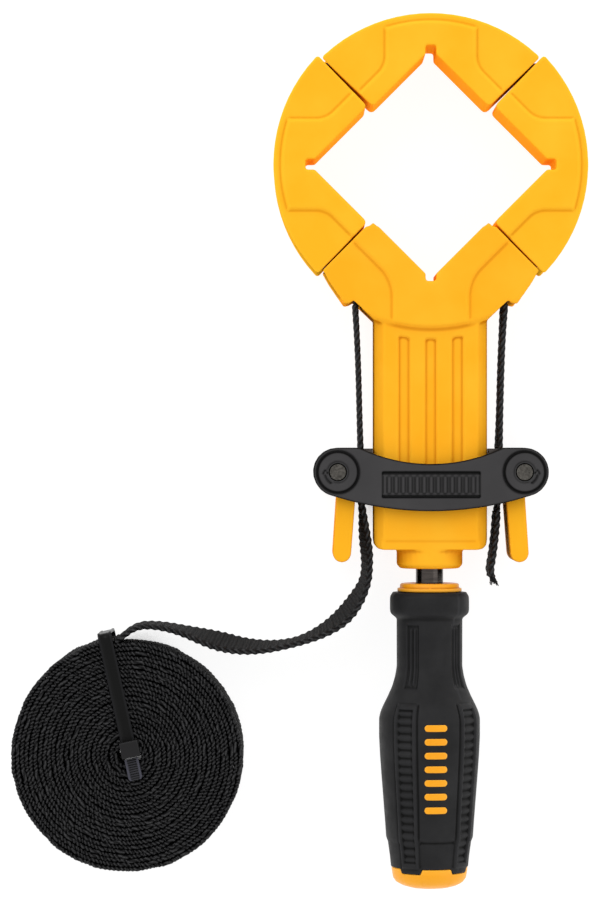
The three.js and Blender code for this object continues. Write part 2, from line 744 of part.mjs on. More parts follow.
function crossbarPlate() {
  let shape = plate(crossbarOutline(), plateInnerZ, plateFaceZ);
  const grooveWidth = bossRise;
  for (const side of [-1, 1]) {
    const x = side * pivotX;
    shape = shape.add(disc(x, -pivotDepth, bossRadius, plateInnerZ + bossRise, crossbarHalfDepth, 20));
    const above = crossbarHalfDepth + overrun;
    const groove = disc(x, -pivotDepth, bossRadius - grooveWidth, plateFaceZ, above, 20);
    const rim = disc(x, -pivotDepth, bossRadius - 2 * grooveWidth, 0, above + overrun, 20);
    shape = shape.subtract(groove.subtract(rim));
    shape = shape.subtract(disc(x, -pivotDepth, pinRadius + fitGap, 0, above, 20));
    const tenon = [side * anvilInnerX, side * anvilOuterX].sort((a, b) => a - b);
    const half = tenonHeight / 2 + fitGap;
    const mortise = box(tenon, [-pivotDepth - half, -pivotDepth + half], [0, plateInnerZ + tenonLength]);
    shape = shape.subtract(mortise);
  }
  const badgeX = [-badgeWidth / 2, badgeWidth / 2];
  const badgeMiddle = -pivotDepth - badgeDrop;
  const badgeY = [badgeMiddle - badgeHeight / 2, badgeMiddle + badgeHeight / 2];
  return shape.subtract(box(badgeX, badgeY, [plateFaceZ - badgeSink, crossbarHalfDepth]));
}

function crossbar() {
  const shape = crossbarPlate();
  const front = named('crossbar_front_plate', shape, blackPlastic());
  const rear = named('crossbar_rear_plate', shape, blackPlastic());
  rear.rotation.y = Math.PI;
  const pieces = [front, rear, nutBlock(), driveNut()];
  for (const [name, side] of [['left', -1], ['right', 1]]) {
    const anvil = named(`anvil_${name}`, anvilShape(side), castSteel());
    const pinShape = disc(0, 0, pinRadius, -plateFaceZ - fitGap, plateFaceZ + fitGap, 20);
    const pin = named(`pivot_pin_${name}`, pinShape, castSteel());
    pin.position.set(side * pivotX, -pivotDepth, 0);
    pieces.push(anvil, pin);
  }
  return pieces;
}

function anvilShape(side) {
  const sides = [side * anvilInnerX, side * anvilOuterX].sort((a, b) => a - b);
  const halfZ = plateInnerZ - fitGap;
  const tenonX = [sides[0] + fitGap, sides[1] - fitGap];
  const tenonY = [-pivotDepth - tenonHeight / 2, -pivotDepth + tenonHeight / 2];
  const tenonZ = plateInnerZ + tenonLength - fitGap;
  return box(sides, [-anvilEnd, -anvilTop], [-halfZ, halfZ]).add(box(tenonX, tenonY, [-tenonZ, tenonZ]));
}

// The block crosses the body through its side slots and carries the drive nut.
function nutBlock() {
  const half = nutBlockHeight / 2;
  const span = [-pivotDepth - half, -pivotDepth + half];
  const reach = anvilInnerX - fitGap;
  const arms = box([-reach, reach], span, [-nutArmDepth / 2, nutArmDepth / 2]);
  const bulge = box([-nutBlockBulge / 2, nutBlockBulge / 2], span, [-nutBlockDepth / 2, nutBlockDepth / 2]);
  const bore = rod(nutRadius + fitGap, span[0] - overrun, span[1] + overrun);
  return named('nut_block', arms.add(bulge).subtract(bore), castSteel());
}

function driveNut() {
  const top = -pivotDepth + nutBlockHeight / 2;
  const flange = top + fitGap;
  const shape = turned([
    [0, top - nutBlockHeight],
    [nutRadius, top - nutBlockHeight],
    [nutRadius, flange],
    [nutFlangeRadius, flange],
    [nutFlangeRadius, flange + nutFlangeLength],
    [0, flange + nutFlangeLength],
  ]);
  const boreEnd = flange + nutFlangeLength + overrun;
  const bore = rod(spindleRadius + fitGap, top - nutBlockHeight - overrun, boreEnd);
  return named('drive_nut', shape.subtract(bore), bronze());
}

// A lever, drawn about its pivot with the band on its +X side. The left one is placed as it is drawn.
function levers() {
  const half = leverDepth / 2;
  const tip = leverThickness / 2;
  const rootY = -camRadius;
  const tipY = -leverLength + tip;
  const arm = plate([
    [leverRootX - tip, rootY / 2],
    [leverTipX - tip, tipY],
    ...arc(leverTipX, tipY, tip, 180, 360, 8).slice(1, -1),
    [leverTipX + tip, tipY],
    [leverRootX + tip, rootY],
    [leverRootX + tip, rootY / 2],
  ], -half, half);
  const cam = disc(camOffset, 0, camRadius, -half, half, 28);
  const shape = arm.add(cam).subtract(disc(0, 0, pinRadius + fitGap, -half - overrun, half + overrun, 20));
  return [['lever_left', -1], ['lever_right', 1]].map(([name, side]) => {
    const mesh = named(name, shape, yellowPlastic());
    mesh.scale.x = -side;
    mesh.position.set(side * pivotX, -pivotDepth, 0);
    return mesh;
  });
}

// Band

function bandOnJaw(jaw) {
  const offset = THREE.MathUtils.radToDeg((jawEndClearance + fitGap / 2) / bandRadius);
  const mesh = named(jaw.name.replace('jaw', 'jaw_band'), strap(
    level(arc(0, 0, bandRadius, 45 + offset, 135 - offset, 12)), bandWidth, bandThickness), blackWebbing());
  mesh.rotation.copy(jaw.rotation);
  mesh.position.copy(jaw.position);
  return mesh;
}

const legTopDepth = guideDepth + guideRadius + fitGap;
const crossbarBandTop = anvilTop + bandThickness;
const crossbarBandStraight = anvilEnd + fitGap;
const bandExitX = bandInCrossbarX - bandExitLean;
const bandExitDepth = crossbarBellyDepth + bandExitDrop;

// From the end face of the frame round the rim, then back round the guide post and down the side.
function bandOnFrame(side) {
  const offset = THREE.MathUtils.radToDeg((frameEndReach - fitGap) / bandRadius);
  const guideAngle = THREE.MathUtils.radToDeg(Math.atan2(guideDepth, guideX));
  const rim = arc(0, 0, bandRadius, 45 - offset, guideAngle, 4);
  const bend = arc(guideX, guideDepth, guideReach, 180 + guideAngle, 180, 5).slice(1);
  const route = [...rim, ...bend, [bandLegTopX, legTopDepth]];
  return strap(level(route.map(([x, y]) => [side * x, -y])), bandWidth, bandThickness);
}

function bandSides() {
  const pieces = [];
  for (const [name, side] of [['left', -1], ['right', 1]]) {
    const leg = [
      [side * bandLegTopX, -legTopDepth - fitGap],
      [side * bandInCrossbarX, -crossbarBandTop + fitGap],
    ];
    const inside = [
      [side * bandInCrossbarX, -crossbarBandTop],
      [side * bandInCrossbarX, -crossbarBandStraight],
      [side * bandExitX, -bandExitDepth],
    ];
    const webbing = (route) => strap(level(route), bandWidth, bandThickness);
    pieces.push(named(`band_on_frame_${name}`, bandOnFrame(side), blackWebbing()));
    pieces.push(named(`band_leg_${name}`, webbing(leg), blackWebbing()));
    pieces.push(named(`band_in_crossbar_${name}`, webbing(inside), blackWebbing()));
  }
  return pieces;
}

// The free stretch from the crossbar to the coil: X, Y, height from the axis, lean.
const leadRoute = [
  [-27.1, -137.5, 0, 0], [-26.6, -143.3, 0, 0], [-26.1, -149, -0.2, 0], [-25.3, -154.2, -0.4, 0],
  [-24.6, -158.6, -0.6, 1], [-24.5, -163, -0.8, 1], [-26.4, -167.8, -1, 4], [-31.2, -172.9, -1.3, 12],
  [-36.6, -179, -1.7, 15], [-43.8, -184.8, -2.2, 14], [-52.9, -189.3, -2.8, 14], [-60.2, -191.4, -3.2, 16],
  [-67.4, -192.2, -3.7, 18], [-76, -192, -4.3, 19], [-84.7, -190.2, -4.8, 17], [-92.6, -188, -5.2, 13],
  [-100.6, -185.8, -5.7, 7], [-107.2, -184.2, -6, 3], [-113.4, -184.2, -6.3, 1],
];

// The cut end that hangs out of the crossbar at the right, as shares of its length, across and down.
const tailShares = [
  [0, 0], [-0.014, 0.187], [-0.037, 0.425], [-0.068, 0.663], [-0.102, 0.806], [-0.065, 0.922], [-0.017, 1],
];

function tailRoute() {
  const top = -bandExitDepth - fitGap;
  const place = ([across, down]) => [bandExitX + across * tailLength, top - down * tailLength];
  return level(tailShares.map(place));
}

function smooth(route, steps) {
  const places = route.map(([x, y, z]) => new THREE.Vector3(x, y, z));
  const curve = new THREE.CatmullRomCurve3(places, false, 'centripetal');
  const points = [];
  for (let i = 0; i <= steps; i += 1) {
    const share = i / steps;
    const place = curve.getPoint(share);
    const along = share * (route.length - 1);
    const before = Math.min(Math.floor(along), route.length - 2);
    const lean = THREE.MathUtils.lerp(route[before][3], route[before + 1][3], along - before);
    points.push([place.x, place.y, place.z, lean]);
  }
  return points;
}

// The coil: a flat spiral from its outer end, which leaves the last loop straight towards the lead.
function coilRoute() {
  const height = coilBottom + bandWidth / 2 - axisHeight;
  const points = [];
  for (let i = 0; i <= coilLoops * loopSteps; i += 1) {
    const turn = i / loopSteps;
    const angle = radians(coilEndAngle + 360 * turn);
    const radius = coilOuter - coilPitch * turn;
    points.push([coilX + radius * Math.cos(angle), -coilDepth + radius * Math.sin(angle), height, 0]);
  }
  const [x, y] = points[0];
  const out = radians(coilEndAngle - 90);
  const end = [x + coilTail * Math.cos(out), y + coilTail * Math.sin(out), height, 0];
  return [end, ...points];
}

// The least space between one loop and any other, measured from each corner to each straight piece.
function leastCoilGap(route) {
  let least = Infinity;
  for (let i = 0; i < route.length; i += 1) {
    for (let j = i + loopSteps / 2; j + 1 < route.length; j += 1) {
      const [px, py] = route[i];
      const [ax, ay] = route[j];
      const [bx, by] = route[j + 1];
      const length = (bx - ax) ** 2 + (by - ay) ** 2;
      const share = THREE.MathUtils.clamp(((px - ax) * (bx - ax) + (py - ay) * (by - ay)) / length, 0, 1);
      least = Math.min(least, Math.hypot(px - ax - share * (bx - ax), py - ay - share * (by - ay)));
    }
  }
  return least - coilThickness;
}

function spareBand() {
  const coil = coilRoute();
  console.log(`coil: ${coilLoops} loops, least gap ${leastCoilGap(coil).toFixed(3)} mm`);
  const [end, next] = coil;
  const out = new THREE.Vector3(end[0] - next[0], end[1] - next[1], 0).normalize();
  const meet = [end[0] + out.x * fitGap, end[1] + out.y * fitGap, end[2], 0];
  const before = [meet[0] + out.x * coilTail / 2, meet[1] + out.y * coilTail / 2, end[2], 0];
  const lead = smooth([...leadRoute, before, meet], leadSteps);
  return [
    named('band_lead', strap(lead, bandWidth, bandThickness), blackWebbing()),
    named('band_tail', strap(smooth(tailRoute(), tailSteps), bandWidth, bandThickness), blackWebbing()),
    named('band_coil', strap(coil, bandWidth, coilThickness), blackWebbing()),
  ];
}

// The tie goes down through the middle of the coil and back over its rim. It is drawn along X, standing up.
function tie() {
  const height = coilBottom + bandWidth + fitGap + tieThickness;
  const near = -tieThickness / 2;
  const frameOf = (inset, radius) => {
    const left = near + inset;
    const right = tieReach - inset;
    const low = inset;
    const high = height - inset;
    const corners = [[left, low], [right, low], [right, high], [left, high]];
    const around = (i) => [corners[(i + 3) % 4], corners[i], corners[(i + 1) % 4]];
    return corners.flatMap((_, i) => rounded(...around(i), radius));
  };
  const halfWidth = tieWidth / 2;
  const outer = plate(frameOf(0, tieCornerRadius), -halfWidth, halfWidth);
  const hole = plate(frameOf(tieThickness, tieCornerRadius - tieThickness / 2), -tieWidth, tieWidth);
  const headLow = height + fitGap;
  const headX = [tieHeadOffset - tieHeadLength / 2, tieHeadOffset + tieHeadLength / 2];
  const head = box(headX, [headLow, headLow + tieHeadHeight], [-tieHeadWidth / 2, tieHeadWidth / 2]);
  const tailX = [headX[0] - fitGap - tieTailLength, headX[0] - fitGap];
  const tail = box(tailX, [headLow + tieThickness, headLow + 2 * tieThickness], [-halfWidth, halfWidth]);
  const upright = new THREE.Group();
  upright.rotation.z = radians(tieAngle);
  upright.position.set(coilX, -coilDepth, -axisHeight);
  const shapes = [['tie_strap', outer.subtract(hole)], ['tie_head', head], ['tie_tail', tail]];
  for (const [name, shape] of shapes) {
    const mesh = named(name, shape, blackNylon());
    mesh.rotation.x = Math.PI / 2;
    upright.add(mesh);
  }
  return upright;
}

// The whole clamp, lying on the rear bosses of its crossbar and on the belly of its grip
const clamp = new THREE.Group();
clamp.position.set(0, ringCentreY, axisHeight);
const ringJaws = jaws();
clamp.add(...ringJaws, ...ringJaws.map(bandOnJaw));
clamp.add(...frameShells(), ...frameScrews());
clamp.add(...spindle(), ...bearings(), ...handle());
clamp.add(...crossbar(), ...levers());
clamp.add(...bandSides(), ...spareBand(), tie());

const group = new THREE.Group();
group.add(clamp);
export default group;
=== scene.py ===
# %% [markdown]
# # A screw-tensioned band clamp
# Four yellow V jaws sit in a loop of black webbing. A screwdriver handle turns a screw, the screw draws a
# black crossbar along the body, and the crossbar pulls the band tight. Two yellow cam levers lock the band
# in the crossbar. The spare band is wound into a coil and held by a cable tie.
#
# The solid model is loaded first. It fixes the size and the place of each piece, so everything below is
# modelled around it and nothing is fitted afterwards.

# %% Load the solid model and keep its box
import json
import math

import bmesh
import bpy
import numpy as np
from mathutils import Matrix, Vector

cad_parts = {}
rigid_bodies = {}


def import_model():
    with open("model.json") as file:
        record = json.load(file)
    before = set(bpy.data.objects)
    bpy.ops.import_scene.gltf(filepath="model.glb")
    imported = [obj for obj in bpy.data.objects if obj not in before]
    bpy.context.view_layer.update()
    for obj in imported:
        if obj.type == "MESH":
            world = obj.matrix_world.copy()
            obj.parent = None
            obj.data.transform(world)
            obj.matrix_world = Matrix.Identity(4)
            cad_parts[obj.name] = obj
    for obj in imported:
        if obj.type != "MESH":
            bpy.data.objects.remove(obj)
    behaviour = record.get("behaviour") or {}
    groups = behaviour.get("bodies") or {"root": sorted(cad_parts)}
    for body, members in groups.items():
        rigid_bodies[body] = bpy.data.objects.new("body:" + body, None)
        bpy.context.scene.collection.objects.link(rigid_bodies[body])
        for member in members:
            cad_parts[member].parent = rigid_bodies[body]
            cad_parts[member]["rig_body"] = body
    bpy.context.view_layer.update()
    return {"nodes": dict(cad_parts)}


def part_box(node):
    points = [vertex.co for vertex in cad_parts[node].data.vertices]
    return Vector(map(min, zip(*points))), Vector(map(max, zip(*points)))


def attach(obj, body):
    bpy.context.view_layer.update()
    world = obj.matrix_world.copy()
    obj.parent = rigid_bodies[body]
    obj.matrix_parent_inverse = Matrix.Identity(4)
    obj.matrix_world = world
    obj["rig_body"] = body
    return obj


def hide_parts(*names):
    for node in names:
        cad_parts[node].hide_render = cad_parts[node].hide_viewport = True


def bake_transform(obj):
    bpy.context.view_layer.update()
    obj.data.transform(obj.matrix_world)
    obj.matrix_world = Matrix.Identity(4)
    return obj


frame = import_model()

# %% [markdown]
# The clamp is easiest to describe in its own measures: millimetres to the right, millimetres down from the
# middle of the jaw ring, and millimetres up from the axis of the screw. One function turns such points into
# metres in the model's frame.

# %% Clamp millimetres
MM = 0.001
RING_RADIUS = 62.8
TOP_JAW_DROP = 0.33
RING_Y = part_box("top_jaw")[1].y / MM - RING_RADIUS + TOP_JAW_DROP
AXIS_Z = (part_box("spindle")[0].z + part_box("spindle")[1].z) / 2 / MM


def at(points):
    """Right, down and up in clamp millimetres become x, ring - down and axis + up, in metres."""
    points = np.asarray(points, float)
    return np.stack([points[..., 0], RING_Y - points[..., 1], AXIS_Z + points[..., 2]], -1) * MM


print("ring at", round(RING_Y, 3), "mm, axis at", round(AXIS_Z, 3), "mm")

# %% [markdown]
# The photograph looks straight down on the clamp from far away, so the camera hangs 1.4 m above it with a
# narrow view of 15 degrees.

# %% Camera
CAMERA_PLACE = (-0.0522, 0.001115, 1.401)
VIEW_ANGLE = math.radians(15.03)
SENSOR = 36
camera_data = bpy.data.cameras.new("camera")
camera_data.sensor_width = SENSOR
camera_data.lens = SENSOR / 2 / math.tan(VIEW_ANGLE / 2)
camera = bpy.data.objects.new("camera", camera_data)
camera.location = CAMERA_PLACE
bpy.context.scene.collection.objects.link(camera)
bpy.context.scene.camera = camera
bpy.context.scene.view_settings.view_transform = "Standard"
print("lens", round(camera_data.lens, 1), "mm")

# %% [markdown]
# All light and paint here is made of shader nodes. One small function adds a node, sets it up, links it and
# hands back the output that the next node needs. Colours are written as the sRGB codes that a paint program
# shows, and another function turns them into the linear light that Blender counts in.

# %% Nodes and colours


def add(tree, kind, inputs=(), out=0, **settings):
    """Adds a shader node, sets its properties, gives its inputs values or links, and returns an output."""
    node = tree.nodes.new("ShaderNode" + kind)
    for name, value in settings.items():
        setattr(node, name, value)
    for name, value in dict(inputs).items():
        if isinstance(value, bpy.types.NodeSocket):
            tree.links.new(value, node.inputs[name])
        else:
            node.inputs[name].default_value = value
    return node.outputs[out] if node.outputs else None


def bare_tree(owner):
    """The emptied node tree of a world or a material."""
    owner.use_nodes = True
    owner.node_tree.nodes.clear()
    return owner.node_tree


def linear(code):
    """An sRGB hex colour as linear light: c / 12.92 up to 0.04045, else ((c + 0.055) / 1.055) ** 2.4."""
    parts = [int(code[i:i + 2], 16) / 255 for i in (1, 3, 5)]
    return [c / 12.92 if c <= 0.04045 else ((c + 0.055) / 1.055) ** 2.4 for c in parts] + [1]


def seen_directly(tree):
    """1 for a ray from the camera, or one that a shiny or clear surface sends on, and else 0."""
    rays = add(tree, "LightPath").node.outputs
    either = add(tree, "Math", {0: rays["Is Camera Ray"], 1: rays["Is Glossy Ray"]}, operation="MAXIMUM")
    return add(tree, "Math", {0: either, 1: rays["Is Transmission Ray"]}, operation="MAXIMUM")


print("a mid grey, #808080, is", round(linear("#808080")[0], 3), "in linear light")

# %% [markdown]
# The photograph was taken in a white room. The sky is brightest at the horizon, which lights the upright
# walls, and a little brighter towards the jaws than towards the handle. To the camera, and to anything that
# reflects it, it is plain white.

# %% World
WHITE = linear("#FFFFFF")
SKY_ZENITH, SKY_HORIZON, SKY_TILT = 0.62, 1.5, 0.3
bpy.context.scene.world = bpy.data.worlds.new("white_room")
room = bare_tree(bpy.context.scene.world)
toward = add(room, "SeparateXYZ", {0: add(room, "TexCoord", out="Generated")}).node.outputs
level = add(room, "MapRange", {0: toward[2], 3: SKY_HORIZON, 4: SKY_ZENITH})
sky_level = add(room, "Math", {0: toward[1], 1: SKY_TILT, 2: level}, operation="MULTIPLY_ADD")
sky = add(room, "Background", {"Color": WHITE, "Strength": sky_level})
backdrop = add(room, "Background", {"Color": WHITE, "Strength": 1})
shown = add(room, "MixShader", {0: seen_directly(room), 1: sky, 2: backdrop})
add(room, "OutputWorld", {"Surface": shown})
print("sky:", SKY_HORIZON, "at the horizon,", SKY_ZENITH, "overhead")

# %% [markdown]
# The clamp lies on white paper. Seen directly, the paper glows, so that it is as white as the sky, and it
# still takes the soft shadow of the clamp. Between the loops of the coil its glow is turned down by ambient
# occlusion, a painted shadow. For the light that the clamp gets back from below, it is plain paper with a
# warm glow.

# %% Floor
FLOOR_HALF = 1.6
FLOOR_DROP = 0.0002
PAPER_SHADE = 0.2
PAPER_GLOW, GLOW_START, GLOW_FULL = 0.9, 0.03, 0.09
BOUNCE_STRENGTH = 0.5
PIT_REACH = 25.0
floor_paint = bpy.data.materials.new("white_paper")
tree = bare_tree(floor_paint)
paper = add(tree, "BsdfDiffuse", {"Color": [PAPER_SHADE] * 3 + [1]})
# Painted shadow: the paper's glow is turned down where ambient occlusion finds it hemmed in, as between the
# loops of the coil.
open_sky = add(tree, "AmbientOcclusion", {"Distance": PIT_REACH * MM}, out="AO", samples=16)
open_share = add(tree, "MapRange", {0: open_sky, 1: GLOW_START, 2: GLOW_FULL, 4: PAPER_GLOW})
glow = add(tree, "Emission", {"Color": WHITE, "Strength": open_share})
glowing_paper = add(tree, "AddShader", {0: paper, 1: glow})
plain = add(tree, "BsdfDiffuse", {"Color": linear("#F2F2F2")})
bounce = add(tree, "Emission", {"Color": linear("#FFF6E4"), "Strength": BOUNCE_STRENGTH})
bright_paper = add(tree, "AddShader", {0: plain, 1: bounce})
shown = add(tree, "MixShader", {0: seen_directly(tree), 1: bright_paper, 2: glowing_paper})
add(tree, "OutputMaterial", {"Surface": shown})
sides = ((-1, -1), (1, -1), (1, 1), (-1, 1))
floor_corners = [(x * FLOOR_HALF, y * FLOOR_HALF, -FLOOR_DROP) for x, y in sides]
floor_mesh = bpy.data.meshes.new("floor")
floor_mesh.from_pydata(floor_corners, [], [(0, 1, 2, 3)])
floor_mesh.materials.append(floor_paint)
floor = bpy.data.objects.new("floor", floor_mesh)
bpy.context.scene.collection.objects.link(floor)
print("floor:", 2 * FLOOR_HALF, "m wide")

# %% [markdown]
# A large soft lamp at the upper left gives the clamp its light side, and a weaker one at the lower right
# keeps the other side from going dark.

# %% Lamps
LAMP_SIZE = 0.9
LAMP_AIM = Vector((0, 0, 0))


def soft_lamp(name, place, energy):
    """A square lamp that faces the clamp."""
    lamp = bpy.data.lights.new(name, "AREA")
    lamp.size = LAMP_SIZE
    lamp.energy = energy
    holder = bpy.data.objects.new(name, lamp)
    holder.location = place
    holder.rotation_mode = "QUATERNION"
    holder.rotation_quaternion = (LAMP_AIM - Vector(place)).to_track_quat("-Z", "Y")
    bpy.context.scene.collection.objects.link(holder)
    print(name, "of", energy, "W")


soft_lamp("key_lamp", (-0.55, 0.75, 1.1), 3.6)
soft_lamp("fill_lamp", (0.95, -0.35, 0.9), 1.5)

# %% [markdown]
# ## Making surfaces
# Each new piece is a grid of points: rows follow the piece along its length and columns run round it. The
# points come from a formula that works on whole arrays. One function joins the grid's neighbours with
# four-cornered faces and closes its ends, and another hands the result to Blender. Whether the faces look
# outwards is told by the signed volume that they enclose: where it is negative, they are turned round.

# %% Grids into meshes


def grid_faces(rows, columns, wrap_rows=False):
    """Quads between each point of a grid and its neighbours. Columns run round; rows do too if asked."""
    r = np.arange(rows if wrap_rows else rows - 1)[:, None]
    c = np.arange(columns)[None, :]
    r_next, c_next = (r + 1) % rows, (c + 1) % columns
    corners = [r * columns + c, r_next * columns + c, r_next * columns + c_next, r * columns + c_next]
    return np.stack([np.broadcast_to(k, (len(r), columns)) for k in corners], -1).reshape(-1, 4)


def fan_faces(first, columns, middle, turned):
    """Triangles from a ring that starts at one corner number to a middle point."""
    c = np.arange(columns)
    a, b = first + c, first + (c + 1) % columns
    return np.stack([b, a, np.full(columns, middle)] if turned else [a, b, np.full(columns, middle)], -1)


def make_mesh(name, points, face_sets):
    """A mesh from metre points and arrays of corner numbers, turned so that its faces look outwards."""
    points = np.ascontiguousarray(np.asarray(points, float).reshape(-1, 3))
    volume = 0
    for faces in face_sets:
        for k in range(1, faces.shape[1] - 1):
            a, b, c = points[faces[:, 0]], points[faces[:, k]], points[faces[:, k + 1]]
            volume += np.einsum("ij,ij->", a, np.cross(b, c))
    if volume < 0:
        face_sets = [faces[:, ::-1] for faces in face_sets]
    mesh = bpy.data.meshes.new(name)
    corners = np.concatenate([faces.ravel() for faces in face_sets]).astype(np.int32)
    counts = np.concatenate([np.full(len(faces), faces.shape[1]) for faces in face_sets])
    mesh.vertices.add(len(points))
    mesh.vertices.foreach_set("co", points.ravel().astype(np.float32))
    mesh.loops.add(len(corners))
    mesh.loops.foreach_set("vertex_index", corners)
    mesh.polygons.add(len(counts))
    mesh.polygons.foreach_set("loop_start", (np.cumsum(counts) - counts).astype(np.int32))
    mesh.polygons.foreach_set("use_smooth", np.ones(len(counts), bool))
    mesh.update(calc_edges=True)
    return mesh


def add_piece(mesh, material, body, stands_for=()):
    """Puts a mesh in the scene with its material, and lets it ride on a body in place of solid pieces."""
    mesh.materials.append(material)
    piece = bpy.data.objects.new(mesh.name, mesh)
    bpy.context.scene.collection.objects.link(piece)
    if body:
        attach(piece, body)
    if stands_for:
        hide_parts(*stands_for)
    print(mesh.name, "in", material.name, "has", len(mesh.polygons), "faces")
    return piece


def tube_mesh(name, *grids):
    """Closed skins over grids of clamp points whose rows run along them, with a fan over each end."""
    points, quads, fans = [], [], []
    first = 0
    for grid in grids:
        rows, columns = grid.shape[:2]
        middle = first + rows * columns
        points += [grid.reshape(-1, 3), grid[:1].mean(1), grid[-1:].mean(1)]
        quads.append(first + grid_faces(rows, columns))
        fans.append(fan_faces(first, columns, middle, False))
        fans.append(fan_faces(middle - columns, columns, middle + 1, True))
        first = middle + 2
    return make_mesh(name, at(np.concatenate(points)), [np.concatenate(quads), np.concatenate(fans)])


def ring_mesh(name, grid):
    """A closed skin over a grid whose last row meets its first, as on a pipe with a wall."""
    rows, columns = grid.shape[:2]
    return make_mesh(name, at(grid.reshape(-1, 3)), [grid_faces(rows, columns, wrap_rows=True)])


def once_round(steps):
    """Equal angles once round, without the last, which would be the first again."""
    return np.linspace(0, 2 * math.pi, steps, endpoint=False)


def about_screw(radius, depth, angle):
    """Points round the screw's axis: right = r sin a and up = r cos a."""
    return np.stack(np.broadcast_arrays(radius * np.sin(angle), depth, radius * np.cos(angle)), -1)


def turned(profile, steps=96):
    """A profile of radius and depth, turned about the screw's axis."""
    radius, depth = np.array(profile, float).T[..., None]
    return about_screw(radius, depth, once_round(steps))


print("a turned piece has", turned([(1, 0), (1, 1)]).shape[1], "corners round it")

# %% [markdown]
# ## Finishes
# Each finish starts from what the real surface is. The yellow pieces are moulded ABS: the mould's spark
# texture leaves a fine even grain that breaks up the gloss. The grain is about 0.15 mm on the real part and
# is drawn at 0.35 mm so that it still shows. A wide soft noise shifts the colour a little, as thick and thin
# walls of a moulding do. The crossbar is nylon filled with glass fibre, which is duller and rougher, and the
# cable tie is plain nylon. Over this the colour carries painted light: a painted shade in inner corners and
# on upright walls, and a painted tone on outer edges.

# %% Moulded plastics
CLOUD_MM, GLOSS_MM = 22, 6
# Pointiness bounds of the painted shade in inner corners and of the painted tone on outer edges.
CORNER_SHADE_BEND, PAINTED_EDGE_BEND = (0.465, 0.497), (0.505, 0.56)
WALL_ROUGHNESS = 0.4
NOISE_LOW, NOISE_HIGH = 0.3, 0.7
GRAIN_SHARPNESS = 0.6


def new_finish(name):
    """An empty material with its node tree and object coordinates."""
    material = bpy.data.materials.new(name)
    tree = bare_tree(material)
    return material, tree, add(tree, "TexCoord", out="Object")


def patches(tree, place, size_mm, detail, low=0, high=1, start=NOISE_LOW):
    """Soft patches of one size, from low to high, over which the middle of a noise is spread."""
    noise = add(tree, "TexNoise", {"Vector": place, "Scale": 1 / (size_mm * MM), "Detail": detail})
    return add(tree, "MapRange", {0: noise, 1: start, 2: NOISE_HIGH, 3: low, 4: high})


def grained(tree, place, size_mm, depth_mm):
    """A surface of small even grains of one size and depth."""
    noise = add(tree, "TexNoise", {"Vector": place, "Scale": 1 / (size_mm * MM), "Detail": 3,
                                   "Roughness": GRAIN_SHARPNESS})
    return add(tree, "Bump", {"Height": noise, "Distance": depth_mm * MM, "Strength": 1})


def painted_corners_and_edges(tree, colour, corner_shade, edge):
    """Painted light on a colour: a painted shade in the inner corners and a painted tone on the outer edges.
    """
    bend = add(tree, "NewGeometry", out="Pointiness")
    inner = add(tree, "MapRange", {0: bend, 1: CORNER_SHADE_BEND[0], 2: CORNER_SHADE_BEND[1], 3: 1, 4: 0})
    outer = add(tree, "MapRange", {0: bend, 1: PAINTED_EDGE_BEND[0], 2: PAINTED_EDGE_BEND[1]})
    # Painted shade in the inner corners.
    shaded = add(tree, "Mix", {0: inner, 6: colour, 7: linear(corner_shade)}, out=2, data_type="RGBA")
    # The outer edges get the edge colour: a painted highlight where it is lighter, a painted shade where it
    # is darker.
    return add(tree, "Mix", {0: outer, 6: shaded, 7: linear(edge)}, out=2, data_type="RGBA")


def uprightness(tree, upright_below, level_above):
    """1 where a surface stands upright, 0 where it lies level, by the upward share of its direction."""
    height = add(tree, "SeparateXYZ", {0: add(tree, "TexCoord", out="Normal")}, out=2)
    share = add(tree, "Math", {0: height}, operation="ABSOLUTE")
    return add(tree, "MapRange", {0: share, 1: upright_below, 2: level_above, 3: 1, 4: 0})


def moulded_plastic(name, shades, roughness, grain_mm, grain_depth_mm, gloss_level=0.5, painted_wall=None):
    """Injection-moulded plastic with a satin skin and an even spark grain.

    Its shades are a light and a dark one, which a noise mixes, then a painted shade for inner corners and a
    painted tone for outer edges. Upright walls can take a painted shade of their own and a rougher surface,
    with the two upward shares that bound the change.
    """
    light, dark, corner_shade, edge = shades
    material, tree, place = new_finish(name)
    share = patches(tree, place, CLOUD_MM, 3, start=0.35)
    colour = add(tree, "Mix", {0: share, 6: linear(dark), 7: linear(light)}, out=2, data_type="RGBA")
    # Painted shade in the inner corners and a painted tone on the outer edges.
    colour = painted_corners_and_edges(tree, colour, corner_shade, edge)
    gloss = patches(tree, place, GLOSS_MM, 4, roughness - 0.05, roughness + 0.06)
    # Painted shade on upright walls, found by the direction of the surface, and a rougher surface there.
    if painted_wall:
        painted_wall_shade, *bounds = painted_wall
        upright = uprightness(tree, *bounds)
        colour = add(tree, "Mix", {0: upright, 6: colour, 7: linear(painted_wall_shade)}, out=2, data_type="RGBA")
        gloss = add(tree, "Math", {0: upright, 1: WALL_ROUGHNESS, 2: gloss}, operation="MULTIPLY_ADD")
    shader = add(tree, "BsdfPrincipled", {"Base Color": colour, "Roughness": gloss, "IOR": 1.53,
                                          "Specular IOR Level": gloss_level,
                                          "Normal": grained(tree, place, grain_mm, grain_depth_mm)})
    add(tree, "OutputMaterial", {"Surface": shader})
    return material


# Each finish: a light and a dark shade, a painted shade for inner corners, a painted tone for outer edges,
# roughness, grain size and depth in mm, gloss level, and a painted wall shade with its two upward shares.
yellow_abs = moulded_plastic("yellow_abs", ("#FDBD2C", "#FCB522", "#E08A0A", "#FFC02A"),
                             0.52, 0.35, 0.012, 0.03, ("#FFB41C", 0.35, 0.65))
